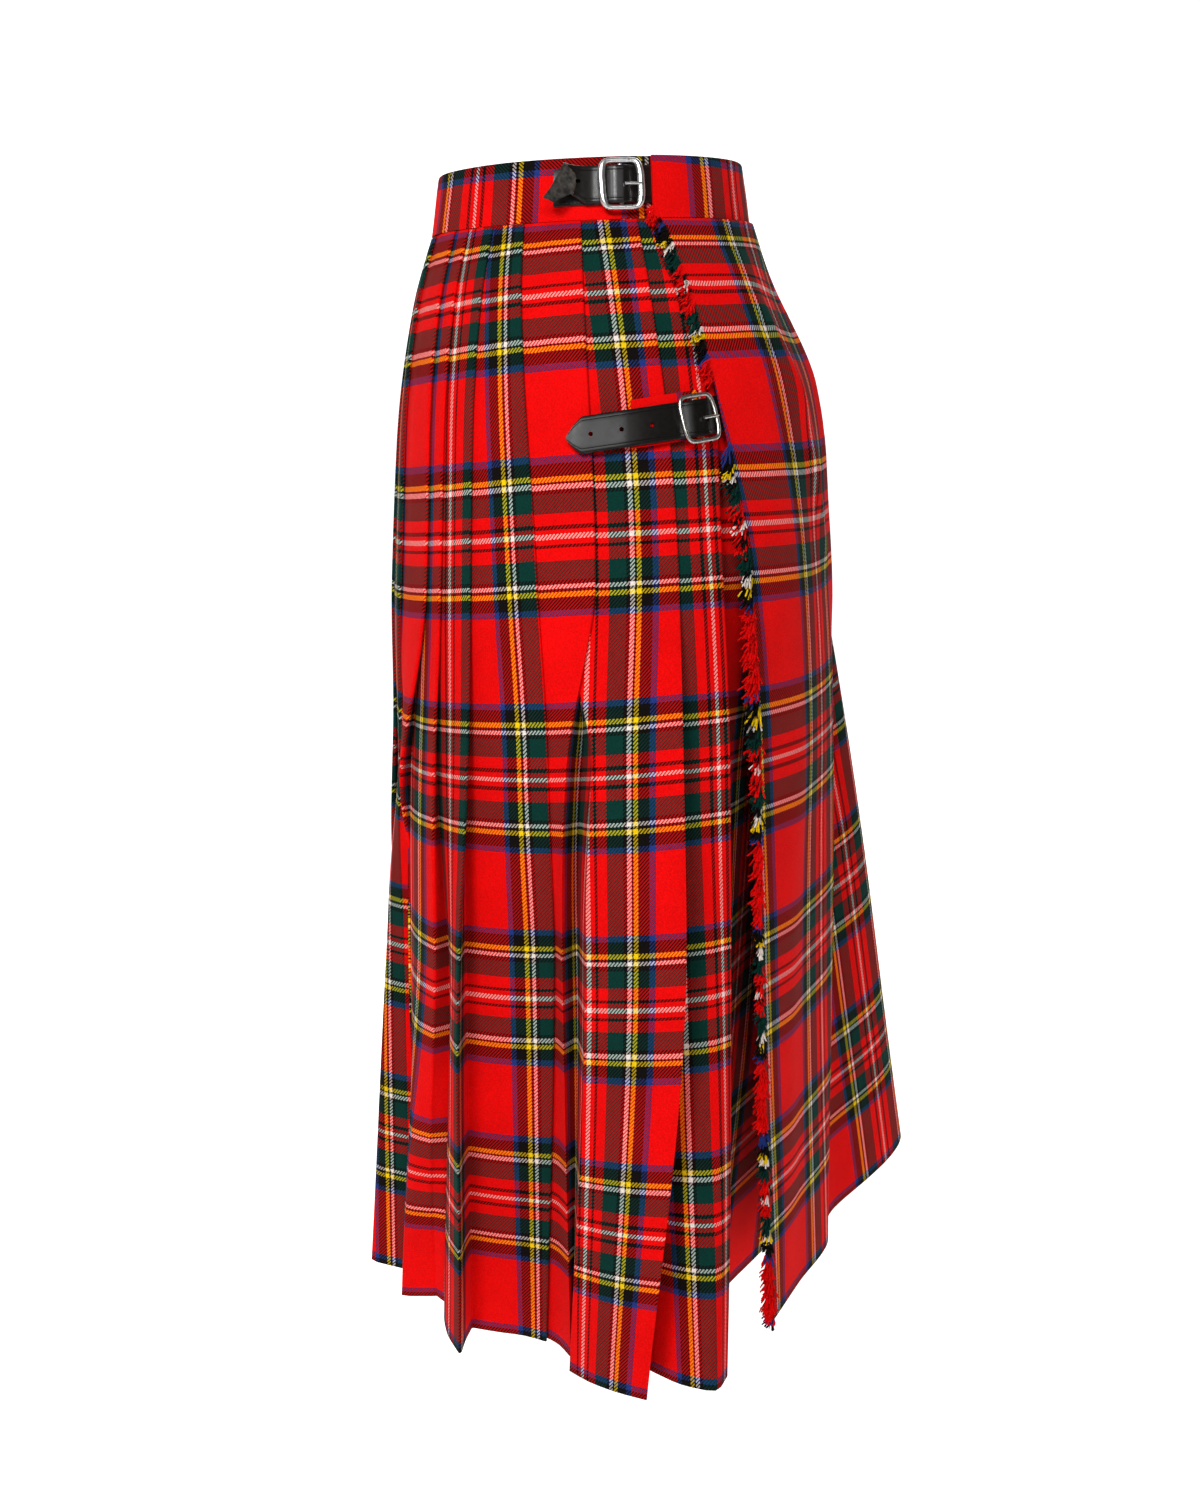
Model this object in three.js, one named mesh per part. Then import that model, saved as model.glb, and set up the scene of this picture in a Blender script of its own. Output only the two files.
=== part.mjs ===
// Kilt skirt: a wrapped, knife-pleated tartan skirt with a fringed over-apron,
// a waistband and two leather straps with buckles on the wearer's right side.
// Units are millimetres. +Z is up, the wearer faces -Y and the wearer's right side is -X.
// The origin is the middle of the waist, at the height of the seam below the waistband.
import * as THREE from 'three';

// ---------------------------------------------------------------- driving dimensions
const CLOTH = 1.2;            // thickness of one layer of wool cloth
const SEAM_GAP = 0.4;         // gap between two pieces that are sewn together
const SKIRT_DROP = 836;       // cloth length from the waist seam to the hem
const BAND_HEIGHT = 42;       // height of the waistband
const BAND_CLOTH = 2.6;       // the waistband is cloth folded double
const BAND_TAPER = 6;         // the band's top is this much nearer the waist than its seam
const WAIST_DIP = 0.04;       // fall of the waist line per millimetre towards the back
const LAYER = 3;              // stand of a pressed fold from the middle of the pleat pack
const FOLD = 1.2;             // half the height of a pressed fold
const STRAP_WIDTH = 25;
const LEATHER = 2.2;
const WIRE = 3.5;             // buckle frame
const BAR = 3;                // buckle centre bar
const PRONG = 2.2;

// Half-widths of the skirt round the figure, by depth of cloth below the waist seam.
const FIGURE = [
  { drop: 0, right: 104, left: 104, back: 114, front: 114 },
  { drop: 50, right: 128, left: 125, back: 128, front: 134 },
  { drop: 127, right: 156, left: 152, back: 140, front: 156 },
  { drop: 166, right: 167, left: 163, back: 143, front: 163.5 },
  { drop: 250, right: 185, left: 180, back: 147.5, front: 174 },
  { drop: 332, right: 197, left: 191, back: 151, front: 181 },
  { drop: 380, right: 200, left: 197, back: 153.5, front: 184 },
  { drop: 450, right: 199, left: 205, back: 157, front: 186 },
  { drop: 520, right: 197, left: 212, back: 160, front: 188 },
  { drop: 630, right: 193, left: 222, back: 167, front: 192 },
  { drop: 735, right: 191, left: 230, back: 174, front: 197 },
  { drop: SKIRT_DROP, right: 190, left: 236, back: 181, front: 202 },
];

// Depths of cloth at which the pleats and the aprons are set out.
const PLEAT_DROPS = [0, 250, 380, 520, SKIRT_DROP];
const APRON_DROPS = [0, 50, 130, 250, 380, 520, SKIRT_DROP];

// One row a pleat, from the under-apron round the back to the left side seam.
// edge: the fold's angle round the figure in degrees (0 is the right side, 90 the back),
// at the waist, the fell (where the stitching ends), the thigh, the knee and the hem.
// stand: how far the fold's edge stands out at thigh, knee and hem.
// lap and root: how far beyond the next pleat's edge this pleat's hidden end lies, in
// degrees, and its stand, at thigh, knee and hem. belly: bulge of the panel there.
// hollow: depth of the pocket behind the pleat, where its lap is negative and it hangs open.
const PLEATS = [
  { edge: [-36, -31, -31.2, -32, -26.4], stand: [2, 0, 24], lap: [4, 2, -3], root: [-4, -4, -12], belly: [0, 5, 33] },
  { edge: [-16.5, -20, -18.2, -17.8, -10], stand: [17, 27, 35], lap: [-6.5, -7.2, -0.8], root: [-2, -1, -18], belly: [0, 0, 0], hollow: [-26, -34, -22] },
  { edge: [2.6, -1.5, 5.6, 7.9, 5.8], stand: [-2, -23, -41], lap: [6, 5.7, 4.1], root: [-14, -41, -68], belly: [-2, -8, -8] },
  { edge: [22.7, 13.3, 11, 12.1, 16.5], stand: [-7, -34, -61], lap: [5, 6, 8], root: [-7, -16, -49], belly: [0, 0, -7] },
  { edge: [35, 32.6, 32, 32.8, 36.5], stand: [3, 7, -16], lap: [3.6, 2, -5], root: [-5, -19, -53], belly: [0, 0, 0] },
  { edge: [46.8, 43.4, 43.2, 45.5, 70], stand: [4, -4, -48], lap: [3, -3, -4], root: [-5, -12, -44], belly: [0, 1, 27] },
  { edge: [55, 49.8, 58, 70, 84], stand: [5, -24, -30], lap: [-2, -2, -2], root: [-8, -26, -40], belly: [2, 0, 0] },
  { edge: [74, 67, 70, 84, 88], stand: [-4, -12, -31], lap: [6, -1, -1], root: [-8, -16, -26], belly: [0, 15, 35] },
  { edge: [90, 84, 85, 96, 102], stand: [-2, 0, -6], lap: [8, 6, -1], root: [-8, -12, -22], belly: [0, 1, 4] },
  { edge: [106, 101, 102, 108, 120], stand: [5, 9, 14], lap: [8, 7, -2], root: [-6, -14, -28], belly: [0, 0, 0] },
  { edge: [122, 118, 119, 122, 136], stand: [3, 3, 4], lap: [8, 6, 1], root: [-6, -12, -22], belly: [0, 1, 3] },
  { edge: [138, 135, 136, 137, 151], stand: [5, 9, 17], lap: [8, 7, -1], root: [-6, -14, -30], belly: [0, 0, 0] },
  { edge: [154, 152, 153, 153, 163], stand: [3, 3, 3], lap: [8, 6, 1], root: [-6, -12, -24], belly: [0, 1, 4] },
  { edge: [171, 170, 170, 170, 177], stand: [5, 10, 22], lap: [8, 6, -2], root: [-6, -14, -30], belly: [0, 0, 0] },
  { edge: [188, 188, 188, 188, 191], stand: [3, 5, 8], lap: [0, 0, 0], root: [0, 0, 0], belly: [0, 0, 0] },
];
const PRESSED_LAP = 0.72;     // hidden part of a pressed pleat, as a share of what shows
const LEFT_SEAM = 206;        // angle of the seam between the last pleat and the over-apron

// Folds of the over-apron in plan, x and y, from its fringed edge to the left side.
const OVER_APRON = [
  {
    fold: 'fringed edge',
    plan: [[-101.6, -50], [-120.6, -65.8], [-142, -86], [-155, -110], [-144, -120], [-137, -124], [-112, -141]],
  },
  {
    fold: 'near flank',
    plan: [[-75.8, -88.4], [-91.3, -106], [-108, -128], [-105, -149], [-87, -157], [-84, -153], [-52, -168]],
  },
  {
    fold: 'near ridge',
    plan: [[-42, -111.4], [-48.5, -127], [-51, -158], [-6, -181], [6, -190], [12, -195], [4, -197]],
  },
  {
    fold: 'valley',
    plan: [[0, -120], [7, -133.5], [20, -164.5], [50, -174], [64, -172], [60, -184], [60, -208]],
  },
  {
    fold: 'far ridge',
    plan: [[42, -110.7], [59, -118], [83, -150], [98, -179], [114, -207], [136, -234], [162, -284]],
  },
  {
    fold: 'left turn',
    plan: [[78, -83.5], [98, -91], [126, -123], [152, -138], [178, -154], [203, -174], [246, -222]],
  },
];
// Folds of the under-apron, from the first pleat to its plain end behind the over-apron.
const UNDER_APRON = [
  {
    fold: 'behind the first pleat',
    plan: [[-78, -77], [-94, -94], [-125, -99], [-132, -110], [-120, -106], [-112, -102], [-105, -90]],
  },
  {
    fold: 'right front',
    plan: [[-47, -102], [-53, -119.5], [-83, -131.5], [-88, -136], [-76, -126], [-70, -117], [-58, -106]],
  },
  {
    fold: 'middle',
    plan: [[-2, -114], [-8.5, -127.4], [-20, -155], [0, -166], [-8, -154], [-12, -142], [0, -140]],
  },
  {
    fold: 'left front',
    plan: [[42.5, -103], [48, -116.5], [57, -149], [56, -162], [58, -158], [58, -166], [80, -188]],
  },
  {
    fold: 'plain end',
    plan: [[76, -77], [91, -89], [111, -123], [117, -148], [112, -178], [124, -198], [158, -236]],
  },
];
// The over-apron hangs a little lower at the knee than the cloth beneath it.
const APRON_SAG = [
  { drop: 0, sag: 0 }, { drop: 330, sag: 0 }, { drop: 430, sag: 4 },
  { drop: 520, sag: 8 }, { drop: 650, sag: 8 }, { drop: SKIRT_DROP, sag: 0 },
];
const FRINGE_REACH = [7, 8, 9, 10, 11, 8, 10];   // at APRON_DROPS
const FRINGE_THICK = 2;
const FRINGE_GAP = [127, 166];   // drops between which the hip strap takes the fringe's place

// The waistband winds on from its end on the right front, round the front, the left
// side and the back, and under its own start to its plain end at the left front.
const BAND_TURN = [
  { angle: -22, stand: 5.6 }, { angle: -38, stand: 5.2 }, { angle: -56, stand: 3.8 },
  { angle: -90, stand: 2.6 }, { angle: -125, stand: 2.4 }, { angle: -154, stand: 1.5 },
  { angle: -200, stand: 0.5 }, { angle: -270, stand: 0.5 }, { angle: -340, stand: -0.4 },
  { angle: -384, stand: -0.6 }, { angle: -430, stand: -0.9 }, { angle: -496, stand: -1.2 },
];
const BAND_STEP = 6;          // degrees between the band's facets

// ---------------------------------------------------------------- helpers
// Smooth curve through a column of values, one value for each key, with no overshoot.
function through(keys, values, at) {
  let i = 0;
  while (i < keys.length - 2 && at > keys[i + 1]) i += 1;
  const slope = (a) => (values[a + 1] - values[a]) / (keys[a + 1] - keys[a]);
  const level = (a, b) => (a * b <= 0 ? 0 : (2 * a * b) / (a + b));
  const before = i === 0 ? slope(0) : level(slope(i - 1), slope(i));
  const after = i + 2 === keys.length ? slope(i) : level(slope(i), slope(i + 1));
  const span = keys[i + 1] - keys[i];
  const t = Math.min(Math.max((at - keys[i]) / span, 0), 1);
  const t2 = t * t;
  const t3 = t2 * t;
  return (2 * t3 - 3 * t2 + 1) * values[i] + (t3 - 2 * t2 + t) * span * before
    + (3 * t2 - 2 * t3) * values[i + 1] + (t3 - t2) * span * after;
}

function halfWidths(drop) {
  const keys = FIGURE.map((row) => row.drop);
  const column = (name) => through(keys, FIGURE.map((row) => row[name]), drop);
  return { right: column('right'), left: column('left'), back: column('back'), front: column('front') };
}

// Point in plan at an angle round the figure, standing out from the ring of half-widths.
function planPoint(angle, stand, widths) {
  const a = THREE.MathUtils.degToRad(angle);
  const across = Math.cos(a) > 0 ? widths.right : widths.left;
  const along = Math.sin(a) > 0 ? widths.back : widths.front;
  const out = new THREE.Vector2(-Math.cos(a) / across, Math.sin(a) / along).normalize();
  return new THREE.Vector2(-across * Math.cos(a) + out.x * stand, along * Math.sin(a) + out.y * stand);
}

// Height of a point of cloth: cloth that travels outwards over the hips hangs less low.
function heightOf(plan, drop) {
  const waist = halfWidths(0);
  const direction = plan.clone().normalize();
  const waistRadius = 1 / Math.hypot(direction.x / waist.right, direction.y / waist.back);
  const travel = Math.max(plan.length() - waistRadius, 0);
  const slant = drop - Math.sqrt(Math.max(drop * drop - travel * travel, 0));
  const hip = 10 * THREE.MathUtils.smoothstep(drop, 180, 560);
  return -(drop - Math.min(slant + hip, 0.2 * drop)) - WAIST_DIP * plan.y;
}

function onFigure(angle, stand, drop) {
  const plan = planPoint(angle, stand, halfWidths(drop));
  return new THREE.Vector3(plan.x, plan.y, heightOf(plan, drop));
}

// Closed cloth wall: rows[j][i] are points of its middle surface, j down and i along.
// The wall's two skins lie half its thickness to each side, in plan.
function wall(rows, thickness) {
  const columns = rows[0].length;
  const positions = [];
  const index = [];
  for (const side of [1, -1]) {
    for (const row of rows) {
      row.forEach((point, i) => {
        const before = row[Math.max(i - 1, 0)];
        const after = row[Math.min(i + 1, columns - 1)];
        const comes = new THREE.Vector2(point.x - before.x, point.y - before.y).normalize();
        const goes = new THREE.Vector2(after.x - point.x, after.y - point.y).normalize();
        if (i === 0) comes.copy(goes);
        if (i === columns - 1) goes.copy(comes);
        const normal = new THREE.Vector2(comes.y + goes.y, -comes.x - goes.x).normalize();
        const mitre = 1 / Math.max(normal.x * comes.y - normal.y * comes.x, 0.6);
        const shift = (side * thickness * mitre) / 2;
        positions.push(point.x + normal.x * shift, point.y + normal.y * shift, point.z);
      });
    }
  }
  const at = (side, j, i) => side * rows.length * columns + j * columns + i;
  const quad = (a, b, c, d) => index.push(a, b, c, a, c, d);
  for (let j = 0; j < rows.length - 1; j += 1) {
    for (let i = 0; i < columns - 1; i += 1) {
      quad(at(0, j, i), at(0, j + 1, i), at(0, j + 1, i + 1), at(0, j, i + 1));
      quad(at(1, j, i), at(1, j, i + 1), at(1, j + 1, i + 1), at(1, j + 1, i));
    }
    quad(at(0, j, 0), at(1, j, 0), at(1, j + 1, 0), at(0, j + 1, 0));
    const end = columns - 1;
    quad(at(0, j, end), at(0, j + 1, end), at(1, j + 1, end), at(1, j, end));
  }
  const low = rows.length - 1;
  for (let i = 0; i < columns - 1; i += 1) {
    quad(at(0, 0, i), at(0, 0, i + 1), at(1, 0, i + 1), at(1, 0, i));
    quad(at(0, low, i), at(1, low, i), at(1, low, i + 1), at(0, low, i + 1));
  }
  return closedGeometry(positions, index);
}

// Geometry from shared vertices, turned to face outwards.
function closedGeometry(positions, index) {
  let volume = 0;
  const corner = (n) => new THREE.Vector3(...positions.slice(3 * n, 3 * n + 3));
  for (let i = 0; i < index.length; i += 3) {
    volume += corner(index[i]).dot(corner(index[i + 1]).cross(corner(index[i + 2])));
  }
  if (volume < 0) index.reverse();
  const geometry = new THREE.BufferGeometry();
  geometry.setAttribute('position', new THREE.Float32BufferAttribute(positions, 3));
  geometry.setIndex(index);
  geometry.computeVertexNormals();
  return geometry;
}

// Round rod along a path of points; a closed path gives a ring.
function rod(path, diameter, closed, sides = 8) {
  const count = path.length;
  const positions = [];
  const index = [];
  path.forEach((point, i) => {
    const before = path[closed ? (i + count - 1) % count : Math.max(i - 1, 0)];
    const after = path[closed ? (i + 1) % count : Math.min(i + 1, count - 1)];
    const ahead = after.clone().sub(before).normalize();
    const side = new THREE.Vector3(-1, 0.13, 0.07).cross(ahead).normalize();
    const up = ahead.clone().cross(side);
    for (let k = 0; k < sides; k += 1) {
      const turn = (2 * Math.PI * (k + 0.5)) / sides;
      const offset = side.clone().multiplyScalar(Math.cos(turn)).addScaledVector(up, Math.sin(turn));
      positions.push(...point.clone().addScaledVector(offset, diameter / 2).toArray());
    }
  });
  const steps = closed ? count : count - 1;
  for (let i = 0; i < steps; i += 1) {
    const next = (i + 1) % count;
    for (let k = 0; k < sides; k += 1) {
      const k2 = (k + 1) % sides;
      const [a, b, c, d] = [i * sides + k, i * sides + k2, next * sides + k2, next * sides + k];
      index.push(a, b, c, a, c, d);
    }
  }
  if (!closed) {
    for (let k = 1; k < sides - 1; k += 1) {
      const end = (count - 1) * sides;
      index.push(0, k + 1, k, end, end + k, end + k + 1);
    }
  }
  return closedGeometry(positions, index);
}

const kilt = new THREE.Group();

function addPiece(name, geometry, finish) {
  const mesh = new THREE.Mesh(geometry, new THREE.MeshStandardMaterial(finish));
  mesh.name = name;
  kilt.add(mesh);
}

const WOOL = { color: 0xb3120f, roughness: 0.9, metalness: 0 };
const FRINGE_WOOL = { color: 0x8a1512, roughness: 0.95, metalness: 0 };
const STRAP_LEATHER = { color: 0x141210, roughness: 0.45, metalness: 0 };
const BRIGHT_METAL = { color: 0xd8d8d6, roughness: 0.2, metalness: 1 };
const AGED_METAL = { color: 0xa8a49c, roughness: 0.35, metalness: 1 };

// ---------------------------------------------------------------- pleated section
// Pressed values above the fell, then the row's own values down to the hem.
function pleatAt(k, drop) {
  const pleat = PLEATS[k];
  const next = PLEATS[k + 1];
  const edge = through(PLEAT_DROPS, pleat.edge, drop);
  const nextEdge = next ? next.edge : PLEAT_DROPS.map(() => LEFT_SEAM);
  const pressed = [0, 1].map((i) => PRESSED_LAP * Math.min(
    nextEdge[i] - pleat.edge[i],
    next && PLEATS[k + 2] ? PLEATS[k + 2].edge[i] - nextEdge[i] : Infinity,
  ));
  const lap = next ? through(PLEAT_DROPS, [...pressed, ...pleat.lap], drop) : 0;
  const opened = pleat.hollow ? THREE.MathUtils.clamp(-lap / 2, 0, 1) : 0;
  return {
    edge,
    stand: through(PLEAT_DROPS, [LAYER, LAYER, ...pleat.stand], drop),
    end: through(PLEAT_DROPS, nextEdge, drop) + lap,
    root: next ? through(PLEAT_DROPS, [-LAYER, -LAYER, ...pleat.root], drop) : LAYER,
    hollow: opened ? through(PLEAT_DROPS, [0, 0, ...pleat.hollow], drop) * opened : 0,
    turn: FOLD - 2 * FOLD * opened,
    belly: through(PLEAT_DROPS, [0, 0, ...pleat.belly], drop),
  };
}

const FIRST_LAP = 7;          // the under-apron's fold behind the first pleat, in degrees
const PANEL = [{ share: 1 / 3, bulge: 1 }, { share: 2 / 3, bulge: 0.66 }];

function pleatRow(drop) {
  const points = [];
  const add = (angle, stand) => points.push(onFigure(angle, stand, drop));
  let previous = null;
  PLEATS.forEach((_, k) => {
    const pleat = pleatAt(k, drop);
    if (previous) {
      add((previous.end + pleat.edge) / 2, (previous.root + pleat.stand) / 2 + previous.hollow);
    } else {
      add(pleat.edge + FIRST_LAP / 2, pleat.stand - LAYER);
    }
    add(pleat.edge, pleat.stand - FOLD);
    add(pleat.edge, pleat.stand + FOLD);
    for (const { share, bulge } of PANEL) {
      add(
        THREE.MathUtils.lerp(pleat.edge, pleat.end, share),
        THREE.MathUtils.lerp(pleat.stand + FOLD, pleat.root - FOLD, share) + bulge * pleat.belly,
      );
    }
    if (k < PLEATS.length - 1) {
      add(pleat.end, pleat.root - pleat.turn);
      add(pleat.end, pleat.root + pleat.turn);
    } else {
      add(LEFT_SEAM, LAYER);
    }
    previous = pleat;
  });
  return points;
}

addPiece('pleated_section', wall(FIGURE.map((row) => pleatRow(row.drop)), CLOTH), WOOL);

// ---------------------------------------------------------------- aprons
function apronFolds(table, drop) {
  return table.map((row) => new THREE.Vector2(
    through(APRON_DROPS, row.plan.map((p) => p[0]), drop),
    through(APRON_DROPS, row.plan.map((p) => p[1]), drop),
  ));
}

// Plan curve through the folds, as points on a spline.
function apronRow(folds, drop, facets) {
  const curve = new THREE.SplineCurve(folds);
  return curve.getPoints(facets).map((p) => new THREE.Vector3(p.x, p.y, heightOf(p, drop)));
}

const APRON_FACETS = 30;

function overApronRow(drop) {
  const seam = planPoint(LEFT_SEAM, LAYER, halfWidths(drop));
  const gap = THREE.MathUtils.radToDeg(SEAM_GAP / seam.length());
  const start = planPoint(LEFT_SEAM + 2 * gap, LAYER, halfWidths(drop));
  const sag = through(APRON_SAG.map((row) => row.drop), APRON_SAG.map((row) => row.sag), drop);
  return apronRow([start, ...apronFolds(OVER_APRON, drop).reverse()], drop, APRON_FACETS)
    .map((point) => point.setZ(point.z - sag));
}

function underApronRow(drop) {
  const first = pleatAt(0, drop);
  const widths = halfWidths(drop);
  const fold = first.edge + FIRST_LAP;
  const points = [
    onFigure(first.edge + FIRST_LAP / 2 + 0.35, first.stand - LAYER - 0.2, drop),
    onFigure(fold, first.stand - 2 * LAYER + FOLD, drop),
    onFigure(fold, first.stand - 2 * LAYER - FOLD, drop),
  ];
  const from = planPoint(first.edge + FIRST_LAP / 2, first.stand - 2 * LAYER - FOLD - 1.2, widths);
  const folds = [from, ...apronFolds(UNDER_APRON, drop)];
  return points.concat(apronRow(folds, drop, APRON_FACETS - 8));
}

const overApron = FIGURE.map((row) => overApronRow(row.drop));
addPiece('over_apron', wall(overApron, CLOTH), WOOL);
addPiece('under_apron', wall(FIGURE.map((row) => underApronRow(row.drop)), CLOTH), WOOL);

// ---------------------------------------------------------------- fringe
// The self-fringe of the over-apron's edge: a plain strip as deep as the threads reach.
const fringe = FIGURE.map((row, j) => {
  const edge = overApron[j].at(-1);
  const ahead = edge.clone().sub(overApron[j].at(-3)).setZ(0).normalize();
  const reach = through(APRON_DROPS, FRINGE_REACH, row.drop);
  return {
    drop: row.drop,
    points: [SEAM_GAP, reach / 2, reach].map((far) => edge.clone().addScaledVector(ahead, far)),
  };
});
const above = fringe.filter((row) => row.drop <= FRINGE_GAP[0]).map((row) => row.points);
const below = fringe.filter((row) => row.drop >= FRINGE_GAP[1]).map((row) => row.points);
addPiece('fringe_upper', wall(above, FRINGE_THICK), FRINGE_WOOL);
addPiece('fringe_lower', wall(below, FRINGE_THICK), FRINGE_WOOL);

// ---------------------------------------------------------------- waistband
function bandPoint(angle, height, extra = 0) {
  const turns = BAND_TURN.map((row) => -row.angle);
  const stand = through(turns, BAND_TURN.map((row) => row.stand), -angle) + extra;
  const plan = planPoint(angle, stand - (BAND_TAPER * height) / BAND_HEIGHT, halfWidths(0));
  return new THREE.Vector3(plan.x, plan.y, height - WAIST_DIP * plan.y);
}

const bandAngles = [];
for (let angle = BAND_TURN[0].angle; angle > BAND_TURN.at(-1).angle; angle -= BAND_STEP) {
  bandAngles.push(angle);
}
const bandRows = [BAND_HEIGHT, BAND_HEIGHT / 2, SEAM_GAP]
  .map((height) => bandAngles.map((angle) => bandPoint(angle, height)));
addPiece('waistband', wall(bandRows, BAND_CLOTH), WOOL);

// ---------------------------------------------------------------- straps and buckles
// A buckle is flat and sits square on the cloth; across runs towards the front, up
// towards the waist and away level with the ground.
function seat(place, angle) {
  const centre = place(angle, 0, 0);
  const across = place(angle - 0.5, 0, 0).sub(centre).normalize();
  const out = place(angle, 1, 0).sub(centre).cross(across).normalize();
  if (out.dot(centre) < 0) out.negate();
  const up = across.clone().cross(out);
  if (up.z < 0) up.negate();
  const away = out.setZ(0).normalize();
  return (s, t, h) => centre.clone().addScaledVector(across, s).addScaledVector(up, t).addScaledVector(away, h);
}

const BUCKLE_CORNER = 5;
const BUCKLE_BOW = 1.6;       // how far the frame's sides bow outwards
const FRAME_POINTS = 32;

function frameRing(place, halfAcross, halfUp, lift) {
  const points = [];
  for (let i = 0; i < FRAME_POINTS; i += 1) {
    const turn = (2 * Math.PI * (i + 0.5)) / FRAME_POINTS;
    const power = 2 / (2 + BUCKLE_CORNER);
    const c = Math.sign(Math.cos(turn)) * Math.abs(Math.cos(turn)) ** power;
    const s = Math.sign(Math.sin(turn)) * Math.abs(Math.sin(turn)) ** power;
    const bow = BUCKLE_BOW * (1 - s * s) * c;
    points.push(place(halfAcross * c + bow, halfUp * s, lift));
  }
  return rod(points, WIRE, true);
}

// Strap: rows of its upper edge, middle and lower edge. place gives a point at an angle,
// a height above the strap's middle line and a stand from the cloth's middle surface.
function strap(steps, place) {
  const rows = [1, 0, -1].map((side) => steps
    .map((step) => place(step.angle, (side * STRAP_WIDTH * step.share) / 2, step.stand)));
  return wall(rows, LEATHER);
}

// The centre bar ends just inside the frame's top and bottom wires.
function barPath(place, buckle, lift) {
  const reach = buckle.halfUp - WIRE / 2 - SEAM_GAP;
  return [-reach, 0, reach].map((t) => place(0, t, lift));
}

// The prong lies on the strap from its hole to the frame's front side.
function prongPath(place, buckle, lift) {
  const reach = buckle.halfAcross + BUCKLE_BOW;
  return [2, reach / 2 + 1, reach].map((s) => place(s, 0, lift));
}

// Waist strap: from under the band's outer end, through the buckle and over its bar; the
// worn free end curls away from the body.
const WAIST_BUCKLE = { angle: -10.4, height: 23, halfAcross: 13, halfUp: 15.7 };
const WAIST_STRAP_STEPS = [
  { angle: -34, stand: 3.2, share: 1 }, { angle: -30, stand: 3.2, share: 1 },
  { angle: -26, stand: 3.2, share: 1 }, { angle: -22, stand: 3.3, share: 1 },
  { angle: -18.6, stand: 3.9, share: 1 }, { angle: -16, stand: 4.4, share: 1 },
  { angle: -13, stand: 7.2, share: 1 }, { angle: -11.5, stand: 8.2, share: 1 },
  { angle: -9.3, stand: 8.2, share: 1 }, { angle: -7.8, stand: 7.2, share: 1 },
  { angle: -4.8, stand: 4.6, share: 1 }, { angle: -2, stand: 4.7, share: 1 },
  { angle: 2, stand: 6.5, share: 1 }, { angle: 6, stand: 10, share: 1 },
  { angle: 9.5, stand: 14.5, share: 1 }, { angle: 12, stand: 18, share: 0.8 },
  { angle: 13.4, stand: 19, share: 0.4 },
];
const UNDER_TURN = -360;      // the strap lies on the band's under turn

function onBand(angle, up, stand) {
  return bandPoint(angle + UNDER_TURN, WAIST_BUCKLE.height + up, stand);
}

addPiece('waist_strap', strap(WAIST_STRAP_STEPS, onBand), STRAP_LEATHER);
const waistSeat = seat(onBand, WAIST_BUCKLE.angle);
const waistFrame = frameRing(waistSeat, WAIST_BUCKLE.halfAcross, WAIST_BUCKLE.halfUp, 8.2);
addPiece('waist_buckle_frame', waistFrame, BRIGHT_METAL);
addPiece('waist_buckle_bar', rod(barPath(waistSeat, WAIST_BUCKLE, 5), BAR, false), BRIGHT_METAL);
addPiece('waist_prong', rod(prongPath(waistSeat, WAIST_BUCKLE, 11.4), PRONG, false), BRIGHT_METAL);

// Leather tab under the waist buckle, sewn to the band.
const TAB_THICK = 1.2;
const waistTab = [11.5, -13].map((up) => [-14, -10, -6, -2, 2, 6, 9, 12]
  .map((angle) => onBand(angle, up, 2.3)));
addPiece('waist_buckle_tab', wall(waistTab, TAB_THICK), STRAP_LEATHER);

// Hip strap: from under the over-apron's edge, through the buckle, over the pleats.
const HIP_BUCKLE = { angle: -25.5, drop: 144.5, halfAcross: 12, halfUp: 15.3 };
const HIP_SLOPE = 0.34;       // fall in millimetres for each degree towards the back
const HIP_STRAP_STEPS = [
  { angle: -40, stand: 6.4, share: 1 }, { angle: -36, stand: 6.4, share: 1 },
  { angle: -32.5, stand: 6.6, share: 1 }, { angle: -30.2, stand: 7.6, share: 1 },
  { angle: -27.6, stand: 11.5, share: 1 }, { angle: -26.3, stand: 12.4, share: 1 },
  { angle: -24.7, stand: 12.4, share: 1 }, { angle: -23.4, stand: 11.5, share: 1 },
  { angle: -20.6, stand: 8.6, share: 1 }, { angle: -17, stand: 8.6, share: 1 },
  { angle: -13, stand: 8.6, share: 1 }, { angle: -9, stand: 8.5, share: 1 },
  { angle: -5, stand: 7.7, share: 1 }, { angle: -1, stand: 7.1, share: 1 },
  { angle: 1.6, stand: 7.1, share: 1 }, { angle: 3.6, stand: 7.1, share: 0.62 },
  { angle: 5.4, stand: 7.3, share: 0.12 },
];

function onHip(angle, up, stand) {
  const drop = HIP_BUCKLE.drop + HIP_SLOPE * (angle - HIP_BUCKLE.angle) - up;
  return onFigure(angle, stand, drop).setZ(onFigure(angle, 0, drop).z);
}

addPiece('hip_strap', strap(HIP_STRAP_STEPS, onHip), STRAP_LEATHER);
const hipSeat = seat(onHip, HIP_BUCKLE.angle);
const hipFrame = frameRing(hipSeat, HIP_BUCKLE.halfAcross, HIP_BUCKLE.halfUp, 12.9);
addPiece('hip_buckle_frame', hipFrame, AGED_METAL);
addPiece('hip_buckle_bar', rod(barPath(hipSeat, HIP_BUCKLE, 9.1), BAR, false), AGED_METAL);
addPiece('hip_prong', rod(prongPath(hipSeat, HIP_BUCKLE, 16.2), PRONG, false), AGED_METAL);

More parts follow.
